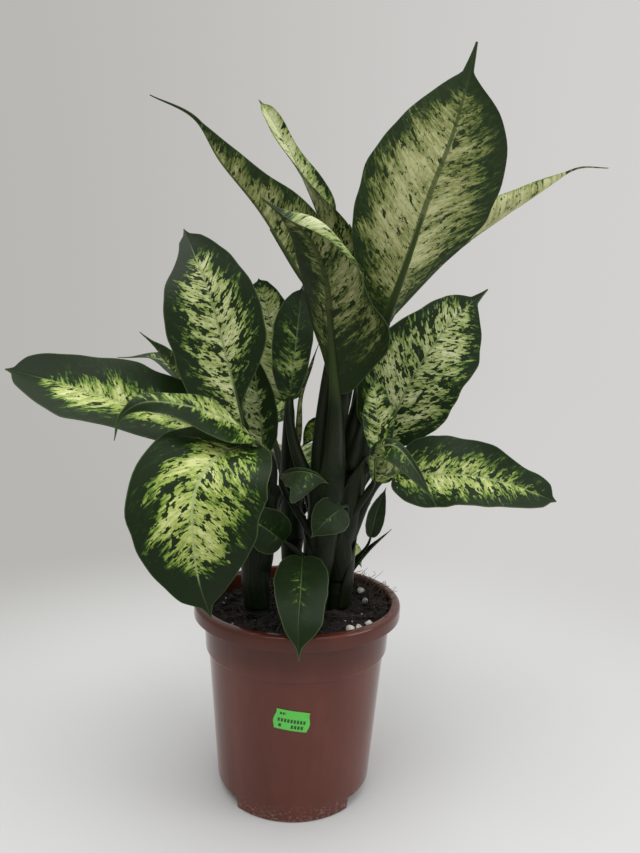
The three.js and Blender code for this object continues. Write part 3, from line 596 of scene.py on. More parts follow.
def shapeBlade(leaf, rib, length, s, v):
    # places of a blade for rows s and columns v, and how far each lies from the rib
    place, along, up, right = (part[:, None, :] for part in ribFrame(leaf, rib, s))
    s, v = s[:, None], v[None, :]
    halves = [np.radians(leaf[side]) for side in ("left", "right")]
    rise, bend = (np.where(v < 0, *(mix(half[:, i], s) for half in halves)) for i in (0, 1))
    bend = np.where(np.abs(bend) < 1e-3, 1e-3, bend)
    width = np.where(v < 0, *halfWidths(leaf, s))
    slow, fast = blade["wander"]
    width = width * (1 + slow * np.sin(31 * s + 2 * v + length) + fast * np.sin(53 * s - v))
    turned = rise + bend * np.abs(v)
    out = width / bend * (np.sin(turned) - np.sin(rise))
    lift = width / bend * (np.cos(rise) - np.cos(turned))
    height, count = leaf["wave"]
    phase = math.tau * (count * s + np.where(v < 0, 0, 0.4))  # the halves are out of step
    wave = height * v * v * np.sin(phase) * np.sin(math.pi * s)
    back = leaf["lobe"] * length * np.abs(v) * 2 * np.sqrt(s) * (1 - s) ** 3
    shape = place + right * (np.sign(v) * out)[..., None]
    shape += up * (lift + wave)[..., None] - along * back[..., None]
    return shape, width, width * np.abs(v), back


def markBlade(leaf, seed, length, s, v, width, across, back):
    # what the skin reads at each point: place along the side veins, paleness, and the rib
    s, v = s[:, None], v[None, :]
    veins = s * length - 0.5 * back - blade["veinLean"] * across - blade["veinBend"] * across**2
    edge = (1 - np.abs(v)) * width
    pale = np.clip((edge - leaf["margin"]) / leaf["soft"], *blade["paleness"]) + leaf["pale"]
    pale = pale - blade["tipDark"] * np.clip((s - leaf["tipFrom"]) / blade["tipSoft"], 0, 1)
    # paler or darker patches, some of them painted shade
    for at, side, long, broad, amount in leaf["patchesAndShade"]:
        reach = ((s - at) * length / long) ** 2 + ((v - side) * width / broad) ** 2
        pale = pale + amount * np.exp(-reach)
    upper, under = leaf["ribWidth"]
    thin = (1 - s) ** blade["ribTaper"]
    full = np.ones_like(pale)
    placed = (veins + blade["apart"] * seed, across * np.sign(v), 0 * full)
    looks = (pale, leaf["fleck"] * full, leaf["warm"] * full)
    lines = (upper / 2 * thin - across, under / 2 * thin - across, edge)
    return dict(zip(leafLayers, (placed, looks, lines)))


def growBlade(bm, layers, leaf, seed, rib, length):
    rows = leaf["rows"]
    columns = 2 * round(rows * 0.3)
    q = np.linspace(0, 1, rows + 1)
    s = q - blade["crowdedRows"] * np.sin(math.tau * q)
    u = np.linspace(-1, 1, columns + 1)
    v = np.sign(u) * np.abs(u) ** blade["crowdedColumns"]
    shape, width, across, back = shapeBlade(leaf, rib, length, s, v)
    marks = markBlade(leaf, seed, length, s, v, width, across, back)
    top = bmesh.ops.create_grid(bm, x_segments=columns, y_segments=rows, size=1)["verts"]
    cell = {}
    for vertex in top:
        row, column = round((vertex.co.y + 1) / 2 * rows), round((vertex.co.x + 1) / 2 * columns)
        cell[vertex] = row, column
        vertex.co = Vector(shape[row, column] * mm)
        for name, layer in layers.items():
            vertex[layer] = [part[row, column] for part in marks[name]]
    faces = list({face for vertex in top for face in vertex.link_faces})
    for face in faces:
        face.normal_update()
    for vertex in top:
        vertex.normal_update()
    # the lower face is a copy, and a wall along the margin joins the two
    double = bmesh.ops.duplicate(bm, geom=top + faces)
    under = [part for part in double["geom"] if isinstance(part, bmesh.types.BMFace)]
    bmesh.ops.reverse_faces(bm, faces=under)
    for face in under:
        face.material_index = 1
    keelWidth = leaf["ribWidth"][1] / 2
    normals = {vertex: vertex.normal.copy() for vertex in top}
    for vertex in top:
        row, column = cell[vertex]
        far, thin = across[row, column], (1 - s[row]) ** blade["ribTaper"]
        groove = blade["groove"] * thin * math.exp(-(far / (keelWidth * 0.5)) ** 2)
        keel = math.exp(-(far / (keelWidth * max(thin, 0.15))) ** 2)
        keel *= blade["keel"] * keelWidth * thin
        vertex.co += normals[vertex] * (blade["thickness"] / 2 - groove) * mm
        below = double["vert_map"][vertex]
        below.co -= normals[vertex] * (blade["thickness"] / 2 + keel) * mm
    rims = [edge for edge in bm.edges if edge.is_boundary]
    for face in bmesh.ops.bridge_loops(bm, edges=rims)["faces"]:
        face.material_index = 0
    for edge in rims:
        edge.smooth = False


def markTube(made, layers, frames, ends, radius, start):
    # what a stalk's skin reads: place along and around it, and the run to the neck. The ends give the
    # length and that run at the tube's end.
    centres, headings, normals = frames
    for vertex in made:
        step = np.argmin(np.sum((centres - np.array(vertex.co) / mm) ** 2, axis=1))
        spoke = np.array(vertex.co) / mm - centres[step]
        around = math.atan2(spoke @ np.cross(headings[step], normals[step]), spoke @ normals[step])
        share = step / (len(centres) - 1)
        vertex[layers["leafPlace"]] = (share * ends[0] + start, around * radius, 0)
        vertex[layers["leafLook"]] = (share * ends[1], 0, 0)


stalkShape = {  # what all stalks share
    "foot": 0.65,  # where they start, as a share of the cane's radius
    "lean": 0.45, "reach": 0.35,  # how they lean out, and how far their bends reach
    "underRib": 0.4, "end": 0.3,  # where they end under the rib, and their share of the radius there
    "samples": 60, "step": 5, "leastSteps": 16, "sides": 14,  # the curve and the mesh
    "channel": 0.5, "leastChannel": 0.12, "closedAt": 0.6,  # the open channel of the sheath
    "lips": [0.15, 0.95, 0.3], "dip": 0.6,  # its lips' height, turn and breadth, and its own breadth
}


def growStalk(bm, layers, leaf, seed, rib):
    shape = stalkShape
    caneName, height, bearing, radius = leaf["stalk"]
    cane = canes[caneName]
    out = outward(math.radians(bearing))
    neck, along, up, _ = (part[0] for part in ribFrame(leaf, rib, np.array([0.0])))
    foot = curveThrough(cane["route"])[0](height)[0] + out * shape["foot"] * mix(cane["radius"], height)
    end = neck - up * radius / 2
    reach = np.linalg.norm(end - foot) * shape["reach"]
    leave = foot + unit(up3 + shape["lean"] * out) * reach
    arrive = end - along * reach
    t = np.linspace(0, 1, shape["samples"], endpoint=False)[:, None]
    stem = (1 - t)**3 * foot + 3 * t * (1 - t)**2 * leave + 3 * t * t * (1 - t) * arrive + t**3 * end
    under = np.linspace(0, shape["underRib"], 24)
    place, _, above, _ = ribFrame(leaf, rib, under)
    ending = place - above * (radius * (0.5 - 0.4 * under))[:, None]  # it rises into the rib
    path = np.vstack([stem, ending])
    gaps = np.linalg.norm(np.diff(path, axis=0), axis=1)
    neckAt = gaps[:shape["samples"]].sum() / gaps.sum()
    at, length = evenCurve(path)
    steps = max(shape["leastSteps"], round(length / shape["step"]))
    fractions, frames = framesAlong(at, steps, above[-1])

    def radiusAt(step, turn):
        toNeck = min(fractions[step] / neckAt, 1)
        past = max(0, (fractions[step] - neckAt) / (1 - neckAt))
        full = radius * (1 + leaf["stout"] * (1 - toNeck) ** 0.7)
        full = full * mix([1, leaf["neck"]], toNeck) * mix([1, shape["end"]], past)
        # the sheath: an open channel on the side that faces the shoot, closing towards the neck
        channel = max(shape["leastChannel"], shape["channel"] * (1 - toNeck / shape["closedAt"]))
        aside = abs((turn + math.pi) % math.tau - math.pi)
        lip, turned, breadth = shape["lips"]
        lips = lip * math.exp(-((aside - turned) / breadth) ** 2) - math.exp(-(aside / shape["dip"]) ** 2)
        return full * (1 + channel * lips * (1 - past))

    made = addTube(bm, frames, radiusAt, shape["sides"], material=2)
    markTube(made, layers, frames, [length, 1 / neckAt], radius, blade["apart"] * seed)


def growLeaf(name, leaf, seed):
    bm = bmesh.new()
    layers = {key: bm.verts.layers.float_vector.new(key) for key in leafLayers}
    rib, length = curveThrough(leaf["rib"])
    growBlade(bm, layers, leaf, seed, rib, length)
    growStalk(bm, layers, leaf, seed, rib)
    camel = "".join(part.title() for part in name.split("_"))
    finishPiece("leaf" + camel, bm, leafMaterials, ["leaf_" + name])


for seed, (name, leaf) in enumerate(leaves.items()):
    growLeaf(name, leaf, seed)
print("leaves grown:", len(leaves))


def caneSkin(name):
    # a cane: green and fleshy, dull, faintly fibrous, and ringed where old leaves stood. Its near-black
    # green is partly its own dark green and partly painted shade of the leaves above
    material, add, feedShader = newMaterial(name)
    place = add("TexCoord").outputs["Object"]
    streak = addLumps(add, place, (1 / 500, 1 / 500, 1 / 33), 3)  # fibres 2 mm wide and 30 mm long
    # near-black green: partly the cane's own colour, partly painted shade
    colour = add("ValToRGB", [streak], [(0.3, "#131b0c"), (0.5, "#161f0e"), (0.72, "#1c2612")])
    feedShader({"Base Color": colour, "Roughness": 0.5, "IOR": 1.45, "Specular IOR Level": 0.22})
    return material


caneMaterial = caneSkin("caneBarkAndShade")
# Leaf scars, and the rounded top, in millimetres. The inset leaves room for the scars' swelling.
caneShape = {"spacing": 17, "height": 0.5, "breadth": 1.2, "slant": 1.5, "inset": 0.3, "dome": 6}


def growCane(name, cane):
    shape = caneShape
    bm = bmesh.new()
    at, length = curveThrough(cane["route"])
    fractions, frames = framesAlong(at, 90, np.array([1.0, 0, 0]))

    def radiusAt(step, turn):
        along = fractions[step] * length
        ring = (along + shape["slant"] * math.sin(turn)) % shape["spacing"] - shape["spacing"] / 2
        swelling = shape["height"] * math.exp(-(ring / shape["breadth"]) ** 2)
        dome = math.sqrt(max(0.02, 1 - max(0, (along - length) / shape["dome"] + 1) ** 2))
        return (mix(cane["radius"], fractions[step]) - shape["inset"] + swelling) * dome

    addTube(bm, frames, radiusAt, 28)
    finishPiece("cane" + name.title(), bm, [caneMaterial], ["cane_" + name])


for name, cane in canes.items():
    growCane(name, cane)
print("canes grown:", len(canes))


# Sheaths: each old leaf's foot still clasps its cane, split down one side and drawn to a point. Each
# has its cane, height of its foot, length, bearing of its point, and how far it stands off and leans out.
sheaths = [
    ["left", 150, 78, 200, 2.2, 5], ["left", 168, 84, 20, 3.4, 8], ["left", 186, 70, 300, 4.6, 7],
    ["middle", 152, 74, 160, 2.2, 6], ["middle", 170, 86, 340, 3.4, 7], ["middle", 192, 68, 240, 4.4, 5],
    ["tall", 150, 82, 60, 2.4, 6], ["tall", 172, 90, 190, 3.6, 8], ["tall", 196, 84, 330, 4.8, 9],
    ["back", 156, 84, 140, 2.2, 6], ["back", 176, 78, 300, 3.4, 8],
]
sheathShape = {
    "thickness": 0.9, "wrap": 150, "narrowing": [2.2, 0.8], "curl": 1.5, "bow": 1.6,
    "rows": 30, "columns": 24, "apart": 90,
}


def growSheath(number, caneName, foot, length, bearing, gap, lean):
    bm = bmesh.new()
    layer = bm.verts.layers.float_vector.new(leafLayers[0])
    shape, cane = sheathShape, canes[caneName]
    bottom, top = cane["route"][0][2], cane["route"][-1][2]
    at, _ = curveThrough(cane["route"])
    point = math.radians(bearing)
    flat = bmesh.ops.create_grid(bm, x_segments=shape["columns"], y_segments=shape["rows"], size=1)
    for vertex in flat["verts"]:
        s, v = (vertex.co.y + 1) / 2, vertex.co.x
        # the wrap narrows to the point, and its edges curl a little outwards
        late, full = shape["narrowing"]
        wrap = math.radians(shape["wrap"]) * (1 - s**late) ** full * (1 - 0.2 * s) + 0.02
        share = (foot + s * length - bottom) / (top - bottom)
        centre = at(min(share, 1))[0]
        centre[2] = foot + s * length
        radius = mix(cane["radius"], min(share, 1)) + gap * min(1, 4 * s) + shape["curl"] * s * v * v
        place = centre + radius * outward(point + wrap * v) + lean * s**shape["bow"] * outward(point)
        vertex.co = Vector(place * mm)
        vertex[layer] = (s * length + shape["apart"] * number, v * wrap * radius, 0)
    piece = finishPiece("sheath" + str(number), bm, [leafMaterials[2]])
    wall = piece.modifiers.new("wall", "SOLIDIFY")
    wall.thickness, wall.offset = shape["thickness"] * mm, 0


for number, sheath in enumerate(sheaths, 1):
    growSheath(number, *sheath)
print("sheaths grown:", len(sheaths))


# Wraps: the youngest sheaths, rolled tight round several stalks at once. Each has its route upward and
# its radii along that.
wraps = {
    "wrapBack": [[[-6, 33, 196], [-9, 28, 250], [-11, 19, 296], [-11, 14, 322]], [11, 10, 6.5, 3]],
    "wrapMiddle": [[[14, -2, 224], [15, 8, 280], [20, 19, 332], [27, 27, 384]], [6, 6.5, 5.5, 3.5]],
    "wrapTall": [[[36, 4, 236], [42, 12, 290], [54, 25, 340], [64, 34, 376]], [9, 8, 6, 4]],
    "wrapLeft": [[[-29, -6, 214], [-31, -3, 244], [-33, 2, 272]], [9.5, 7.5, 4]],
}
wrapShape = {"edge": 1.2, "wind": 1.5, "overlap": [0.09, 0.5], "lobes": 0.02}


def growWrap(name, route, radii):
    shape = wrapShape
    bm = bmesh.new()
    layers = {key: bm.verts.layers.float_vector.new(key) for key in leafLayers[:2]}
    at, length = curveThrough(route)
    fractions, frames = framesAlong(at, 48, np.array([0, -1.0, 0]))
    full = np.interp(fractions, np.linspace(0, 1, len(radii)), radii)

    def radiusAt(step, turn):
        # the overlap of its two edges winds slowly upward
        aside = (turn - shape["edge"] - shape["wind"] * fractions[step]) % math.tau
        overlap, breadth = shape["overlap"]
        bulge = overlap * math.exp(-aside / breadth) + shape["lobes"] * math.sin(3 * turn)
        return full[step] * (1 + bulge)

    made = addTube(bm, frames, radiusAt, 40)
    markTube(made, layers, frames, [length, 0.8], radii[0], 60 * radii[0])
    finishPiece(name, bm, [leafMaterials[2]])


for name, (route, radii) in wraps.items():
    growWrap(name, route, radii)
print("wraps grown:", len(wraps))


# The pot, in millimetres: thin moulded polypropylene with a rolled lip, a stepped collar and two feet.
pot = {
    "height": 156, "lip": 85, "lipHeight": 11, "mouth": 77.5, "collarTop": 76.6, "collar": 75,
    "ledge": 117, "neck": 72.5, "foot": 62.8, "footWidth": 3.4, "wall": 1.6,
    "floor": 9, "floorThickness": 2, "hub": 14, "gap": 46, "drain": 4.5, "drainCircle": 42, "drains": 8,
}
potPatterns = {  # lumps' width and height in metres, and detail
    "tint": (0.03, 0.09, 3),
    "blots": (0.003, 0.002, 4),
    "crumbs": (0.0016, 0.0016, 1),
    "relief": (0.0012, 0.0012, 2),
}
potLooks = {  # heights in metres, noise levels and shares
    "browns": [(0.3, "#58281c"), (0.55, "#602e22"), (0.75, "#683528")],
    # the darker brown over the collar and lip is painted shade of the leaves over them
    "paintedShadeFrom": (0.116, 0.13), "paintedShadeShare": 0.45, "paintedShadeBrown": "#3c170e",
    "dirtUpTo": 0.018, "dirtBlots": (0.5, 0.66), "dirtShare": 0.4, "dirt": "#a08c7d",
    "crumbs": (0.74, 0.77), "crumbShare": 0.8, "crumb": "#1c1410",
    "roughness": (0.1, 0.08), "dirtRoughness": 0.4,
}


def wallRadius(height):
    return mix([pot["foot"], pot["neck"]], height / pot["ledge"])


def rounded(corners, segments=5):
    # a profile through the corners, each with its own rounding
    points = np.array(corners, float)[:, :2]
    line = [points[0]]
    for before, here, after, (_, _, reach) in zip(points, points[1:], points[2:], corners[1:]):
        start, stop = here + unit(before - here) * reach, here + unit(after - here) * reach
        for t in np.linspace(0, 1, segments + 1):
            line.append((1 - t)**2 * start + 2 * t * (1 - t) * here + t * t * stop)
    return [*line, points[-1]]


def spinProfile(bm, line, steps):
    # turns a profile of (radius, height) once round the upright axis
    verts = [bm.verts.new((r * mm, 0, z * mm)) for r, z in line]
    edges = [bm.edges.new(pair) for pair in zip(verts, verts[1:])]
    bmesh.ops.spin(bm, geom=verts + edges, cent=(0, 0, 0), axis=up3, angle=math.tau,
                   steps=steps, use_merge=True, use_duplicate=False)
    bmesh.ops.remove_doubles(bm, verts=bm.verts[:], dist=1e-6)
    bmesh.ops.recalc_face_normals(bm, faces=bm.faces[:])


def cutAway(piece, bm):
    # subtracts the cutters in bm from a piece
    mesh = bpy.data.meshes.new("cutters")
    bm.to_mesh(mesh)
    bm.free()
    cutter = newObject("cutters", mesh)
    cut = piece.modifiers.new("cut", "BOOLEAN")
    cut.object, cut.operation, cut.solver, cut.use_self = cutter, "DIFFERENCE", "EXACT", True
    bpy.context.view_layer.update()
    done = bpy.data.meshes.new_from_object(piece.evaluated_get(bpy.context.evaluated_depsgraph_get()))
    piece.modifiers.clear()
    piece.data = done
    bpy.data.objects.remove(cutter)


def potPlastic(name):
    # polypropylene filled with brown pigment: glossy from the mould, with dried dirt, stuck crumbs, and
    # painted shade over the collar and lip
    material, add, feedShader = newMaterial(name)
    looks = potLooks
    place = add("TexCoord").outputs["Object"]
    height = add("SeparateXYZ", [place]).outputs[2]
    seen = {}
    for key, (width, tall, detail) in potPatterns.items():
        seen[key] = addLumps(add, place, (width, width, tall), detail)
    # painted shade: the collar and the lip are darkened from their foot up, standing in for the shade of
    # the leaves over them
    thick = add("MapRange", [height, *looks["paintedShadeFrom"], 0, looks["paintedShadeShare"]], **eased)
    # pale dried dirt climbs a centimetre or two from the foot, in blots
    low = add("MapRange", [height, looks["dirtUpTo"], 0.0], **eased)
    blots = add("MapRange", [seen["blots"], *looks["dirtBlots"]], **eased)
    dirt = add("Math", [low, blots], operation="MULTIPLY")
    share = add("Math", [dirt, looks["dirtShare"]], operation="MULTIPLY")
    # crumbs of soil stick to the wall
    crumbs = add("MapRange", [seen["crumbs"], *looks["crumbs"], 0, looks["crumbShare"]], **eased)
    colour = add("ValToRGB", [seen["tint"]], looks["browns"])
    for cover, tone in ((thick, "paintedShadeBrown"), (share, "dirt"), (crumbs, "crumb")):
        colour = add("Mix", {0: cover, 6: colour, 7: srgb(looks[tone])}, data_type="RGBA").outputs[2]
    gloss = add("Math", [seen["tint"], *looks["roughness"]], operation="MULTIPLY_ADD")
    gloss = add("Math", [dirt, looks["dirtRoughness"], gloss], operation="MULTIPLY_ADD")
    bump = add("Bump", {"Height": seen["relief"], "Strength": 0.08, "Distance": 0.0003})
    feedShader({"Base Color": colour, "Roughness": gloss, "IOR": 1.49, "Specular IOR Level": 0.4,
                "Normal": bump})
    return material


def makePot():
    p = pot
    lipFoot = p["height"] - p["lipHeight"]
    inner = p["floor"] + p["floorThickness"]
    corners = [  # radius and height of each, and how far its rounding reaches
        (0, 0, 0), (p["hub"], 0, 0.6), (p["hub"] + 3, p["floor"], 0.8),
        (p["foot"] - p["footWidth"] - 0.6, p["floor"], 0.8), (p["foot"] - p["footWidth"], 0, 0.6),
        (p["foot"], 0, 1.2), (p["neck"], p["ledge"], 0.8), (p["collar"], p["ledge"], 1.3),
        (p["collarTop"], lipFoot, 0.6), (p["mouth"] + p["wall"], p["height"] - p["wall"], 1),
        (p["lip"] - p["wall"] - 0.6, p["height"] - p["wall"], 1.2), (p["lip"] - p["wall"], lipFoot, 0.4),
        (p["lip"], lipFoot, 0.6), (p["lip"], p["height"], 3.2), (p["mouth"], p["height"], 2.4),
        (p["collarTop"] - p["wall"], lipFoot - 2, 1.5), (p["collar"] - p["wall"], p["ledge"], 0.8),
        (p["neck"] - p["wall"], p["ledge"] - 1.2, 0.6), (wallRadius(inner) - p["wall"], inner, 1.5),
        (p["hub"] + 1.5, inner, 1), (p["hub"] - 1.5, p["floorThickness"], 1), (0, p["floorThickness"], 0),
    ]
    bm = bmesh.new()
    spinProfile(bm, rounded(corners), 176)
    piece = finishPiece("nurseryPot", bm, [potPlastic("brownPolypropylene")], ["pot"])
    # the gaps between the feet, and the drain holes
    cutters = bmesh.new()
    for side in (-1, 1):
        size = Matrix.Diagonal((40 * mm, 2 * p["gap"] * mm, 2 * p["floor"] * mm, 1))
        shift = Matrix.Translation((side * (p["foot"] - 4) * mm, 0, 0))
        bmesh.ops.create_cube(cutters, size=1, matrix=shift @ size)
    for i in range(p["drains"]):
        place = p["drainCircle"] * outward((i + 0.5) / p["drains"] * math.tau) + p["floor"] * up3
        shift = Matrix.Translation(place * mm)
        bmesh.ops.create_cone(cutters, cap_ends=True, segments=24, radius1=p["drain"] * mm,
                              radius2=p["drain"] * mm, depth=20 * mm, matrix=shift)
    cutAway(piece, cutters)
    for polygon in piece.data.polygons:
        polygon.use_smooth = True
    piece.data.set_sharp_from_angle(angle=math.radians(40))


makePot()
print("pot made")


# The label, in millimetres and degrees: fluorescent paper off a price gun, with wavy cut ends. One corner
# has let go. Its print is plain dashes, each filling a share of its pitch.
label = {
    "length": 26, "height": 16, "thickness": 0.25, "level": 86, "bearing": -91.6, "tilt": -8,
    "wave": 0.8, "lift": 0.9, "dash": 0.7, "ink": 0.9,
}
labelDashes = [  # rows of dashes as [left, right, height, thickness, pitch], from the label's middle
    [-9.5, -5.0, 4.9, 2.0, 2.1],
    [-10.5, 10.5, -0.4, 2.9, 2.4],
    [-9.4, -7.2, -4.8, 2.6, 3.0],
    [0.0, 9.6, -4.9, 2.9, 2.5],
]


def labelPaper(name):
    # uncoated paper dyed fluorescent green, printed in black
    material, add, feedShader = newMaterial(name)
    place = add("Attribute", attribute_name="labelPlace").outputs["Vector"]
    x, y, _ = add("SeparateXYZ", [place]).outputs
    ink = 0.0
    for left, right, height, thick, pitch in labelDashes:
        afterLeft = add("Math", [x, left], operation="GREATER_THAN")
        beforeRight = add("Math", [x, right], operation="LESS_THAN")
        inside = add("Math", [afterLeft, beforeRight], operation="MULTIPLY")
        level = add("Math", [y, height, thick / 2], operation="COMPARE")
        along = add("Math", [x, left], operation="SUBTRACT")
        turn = add("Math", [along, pitch], operation="MODULO")
        dash = add("Math", [turn, label["dash"] * pitch], operation="LESS_THAN")
        row = add("Math", [inside, level], operation="MULTIPLY")
        ink = add("Math", [row, dash, ink], operation="MULTIPLY_ADD")
    pulp = addLumps(add, place, (1 / 1.4, 1 / 1.4, 1), 3)  # fibres 0.7 mm wide
    paper = add("ValToRGB", [pulp], [(0.3, "#56c64a"), (0.7, "#6ad45c")])
    share = add("Math", [ink, label["ink"]], operation="MULTIPLY")
    colour = add("Mix", {0: share, 6: paper, 7: srgb("#10240e")}, data_type="RGBA").outputs[2]
    feedShader({"Base Color": colour, "Roughness": 0.6})
    return material


def makeLabel():
    bm = bmesh.new()
    layer = bm.verts.layers.float_vector.new("labelPlace")
    flat = bmesh.ops.create_grid(bm, x_segments=40, y_segments=24, size=1)["verts"]
    tilt = math.radians(label["tilt"])
    for vertex in flat:
        across, up = vertex.co.x, vertex.co.y * label["height"] / 2
        wavy = label["wave"] * math.cos((up + 1.5) / label["height"] * math.tau)
        x = across * label["length"] / 2 + wavy * math.copysign(across**4, across)
        vertex[layer] = (x, up, 0)
        turned = x * math.cos(tilt) - up * math.sin(tilt), x * math.sin(tilt) + up * math.cos(tilt)
        height = label["level"] + turned[1]
        lift = max(0, x * 2 / label["length"])**5 * max(0, up * 2 / label["height"])**2
        radius = wallRadius(height) + 0.35 + label["lift"] * lift
        bearing = math.radians(label["bearing"]) + turned[0] / wallRadius(label["level"])
        vertex.co = Vector((radius * outward(bearing) + height * up3) * mm)
    bmesh.ops.recalc_face_normals(bm, faces=bm.faces[:])
    piece = finishPiece("priceLabel", bm, [labelPaper("labelPaper")], ["label"])
    paper = piece.modifiers.new("paper", "SOLIDIFY")
    paper.thickness, paper.offset = label["thickness"] * mm, 0


makeLabel()
print("label made")


# Soil, in millimetres: peat with bark and perlite, fibrous, a little higher at the right and at the back.
soil = {
    "level": 147, "rise": [6, 1.5], "relief": 1.8, "crumb": 2.6, "edge": 74.4,
}
# What is strewn on it, in millimetres and degrees: how many, how far inside its edge, and sizes from the
# least to the most. Perlite's seen grains are the big ones in the photograph, as x and y.
bark = {"count": 620, "inside": 4, "sizes": [(2, 8), (1, 3.2), (0.5, 2)], "tilt": 0.5, "chipped": 0.3}
fibres = {"count": 300, "inside": 6, "length": (8, 32), "radius": (0.2, 0.5)}
spilled = {
    "count": 90, "bearing": (-22, 62), "reach": (54, 70), "length": (14, 26), "radius": (0.2, 0.45),
    "climb": (0.4, 1.8),
}
perlite = {
    "count": 26, "inside": 5, "radius": (0.4, 1.3), "seenRadius": (2.5, 3.4), "dents": 0.35,
    "seen": [(40, -59), (47, -53.5), (55, -46), (54, 14), (57, 5)],
}
wander = {"legs": 6, "turn": 0.45, "turnPerClimb": 0.3, "lift": 0.9}  # how each fibre lies
grains = {  # dark and light tone, and width of the specks in metres
    "peat": ("#080706", "#1b1713", 0.0015),  # black brown crumbs, damp in the hollows
    "bark": ("#0c0a08", "#2e261d", 0.003),  # composted bark: dry, so a little lighter
    "rootFibre": ("#12100d", "#463c31", 0.004),  # dead roots, brown and dry
    "perliteGrain": ("#b9b6ab", "#e8e6de", 0.001),  # puffed volcanic glass, white and crumbly
}


def soilLevel(x, y):
    slope = (soil["rise"][0] * x + soil["rise"][1] * y) / pot["mouth"]
    lumps = math.sin(x / 6 + 1) * math.cos(y / 7) + 0.5 * math.sin(x / 3.1 - y / 4.3)
    return soil["level"] + slope + soil["relief"] * lumps


def soilSurface(x, y):
    crumbs = noise.fractal(Vector((x / 7, y / 7, 0.3)), 0.9, 2.1, 4)
    return soilLevel(x, y) + soil["crumb"] * crumbs


def crumbly(name):
    # dull, rough and specked, as all in the soil is
    material, add, feedShader = newMaterial(name)
    dark, light, size = grains[name]
    place = add("TexCoord").outputs["Object"]
    speck = add("TexNoise", {"Vector": place, "Scale": 1 / size, "Detail": 4, "Roughness": 0.7})
    colour = add("ValToRGB", [speck], [(0.35, dark), (0.7, light)])
    bump = add("Bump", {"Height": speck, "Strength": 0.8, "Distance": 0.0015})
    feedShader({"Base Color": colour, "Roughness": 0.95, "Normal": bump})
    return material


def makeSoil():
    bottom = pot["floor"] + pot["floorThickness"] + 0.3
    inside = pot["wall"] + 0.3
    line = [(0, bottom), (wallRadius(bottom) - inside, bottom), (pot["neck"] - inside, pot["ledge"] - 1.2),
            (pot["collar"] - inside, pot["ledge"] + 0.3), (soil["edge"], pot["ledge"] + 18)]
    line += [(soil["edge"] * ring / 60, soil["level"]) for ring in range(60, -1, -1)]
    bm = bmesh.new()
    spinProfile(bm, line, 200)
    for vertex in bm.verts:
        if vertex.co.z > (soil["level"] - 1) * mm:
            vertex.co.z = soilSurface(vertex.co.x / mm, vertex.co.y / mm) * mm
    finishPiece("pottingMix", bm, [crumbly("peat")], ["soil"])


def scatterPlace(dice, inside):
    # a random place on the soil that is 2 mm clear of the canes
    while True:
        distance = (soil["edge"] - inside) * math.sqrt(dice.random())
        bearing = dice.uniform(0, math.tau)
        x, y, _ = distance * outward(bearing)
        feet = [(cane["route"][0], cane["radius"][0] + 2) for cane in canes.values()]
        if all(math.hypot(x - foot[0], y - foot[1]) >= gap for foot, gap in feet):
            return x, y


def scatterBark():
    dice = random.Random(11)
    bm = bmesh.new()
    for _ in range(bark["count"]):
        x, y = scatterPlace(dice, bark["inside"])
        size = [dice.uniform(*span) for span in bark["sizes"]]
        turn = Matrix.Rotation(dice.uniform(0, math.tau), 4, "Z")
        turn = turn @ Matrix.Rotation(dice.gauss(0, bark["tilt"]), 4, "X") @ Matrix.Diagonal((*size, 1))
        shift = Matrix.Translation(Vector((x, y, soilSurface(x, y) + 0.2)) * mm)
        made = bmesh.ops.create_cube(bm, size=mm, matrix=shift @ turn)["verts"]
        for vertex in made:
            vertex.co += Vector([dice.gauss(0, bark["chipped"]) * mm for _ in range(3)])
    piece = finishPiece("barkBits", bm, [crumbly("bark")])
    for polygon in piece.data.polygons:
        polygon.use_smooth = False


def layFibre(bm, dice, start, heading, length, radius, climb=0.0):
    # one root hair or peat fibre, wandering over the soil. One that climbs may also leave the pot.
    points = [np.array(start)]
    for _ in range(wander["legs"]):
        heading += dice.gauss(0, wander["turn"] + wander["turnPerClimb"] * climb)
        step = length / wander["legs"]
        x, y = points[-1][0] + step * math.cos(heading), points[-1][1] + step * math.sin(heading)
        if climb == 0:  # it lies inside the pot
            inward = min(1, (soil["edge"] - 2) / math.hypot(x, y))
            x, y = x * inward, y * inward
        ground = soilSurface(x, y) + 0.5 if math.hypot(x, y) < soil["edge"] else points[-1][2]
        height = max(ground, points[-1][2] + climb) + dice.uniform(0, wander["lift"])
        points.append(np.array([x, y, height]))
    at, _ = curveThrough(points, 6)
    _, frames = framesAlong(at, 10, up3)
    addTube(bm, frames, lambda step, turn: radius * (1.1 - 0.07 * step), 4)


def scatterFibres():
    dice = random.Random(5)
    bm = bmesh.new()
    for _ in range(fibres["count"]):
        x, y = scatterPlace(dice, fibres["inside"])
        start, heading = [x, y, soilSurface(x, y) + 0.4], dice.uniform(0, math.tau)
        length, radius = (dice.uniform(*fibres[key]) for key in ("length", "radius"))
        layFibre(bm, dice, start, heading, length, radius)
    # root hairs that spill to the rim at the right and at the back
    for _ in range(spilled["count"]):
        bearing = math.radians(dice.uniform(*spilled["bearing"]))
        x, y, _ = dice.uniform(*spilled["reach"]) * outward(bearing)
        start, heading = [x, y, soilSurface(x, y) + 0.5], bearing + dice.gauss(0, 1)
        length, radius, climb = (dice.uniform(*spilled[key]) for key in ("length", "radius", "climb"))
        layFibre(bm, dice, start, heading, length, radius, climb)
    finishPiece("rootHairs", bm, [crumbly("rootFibre")])


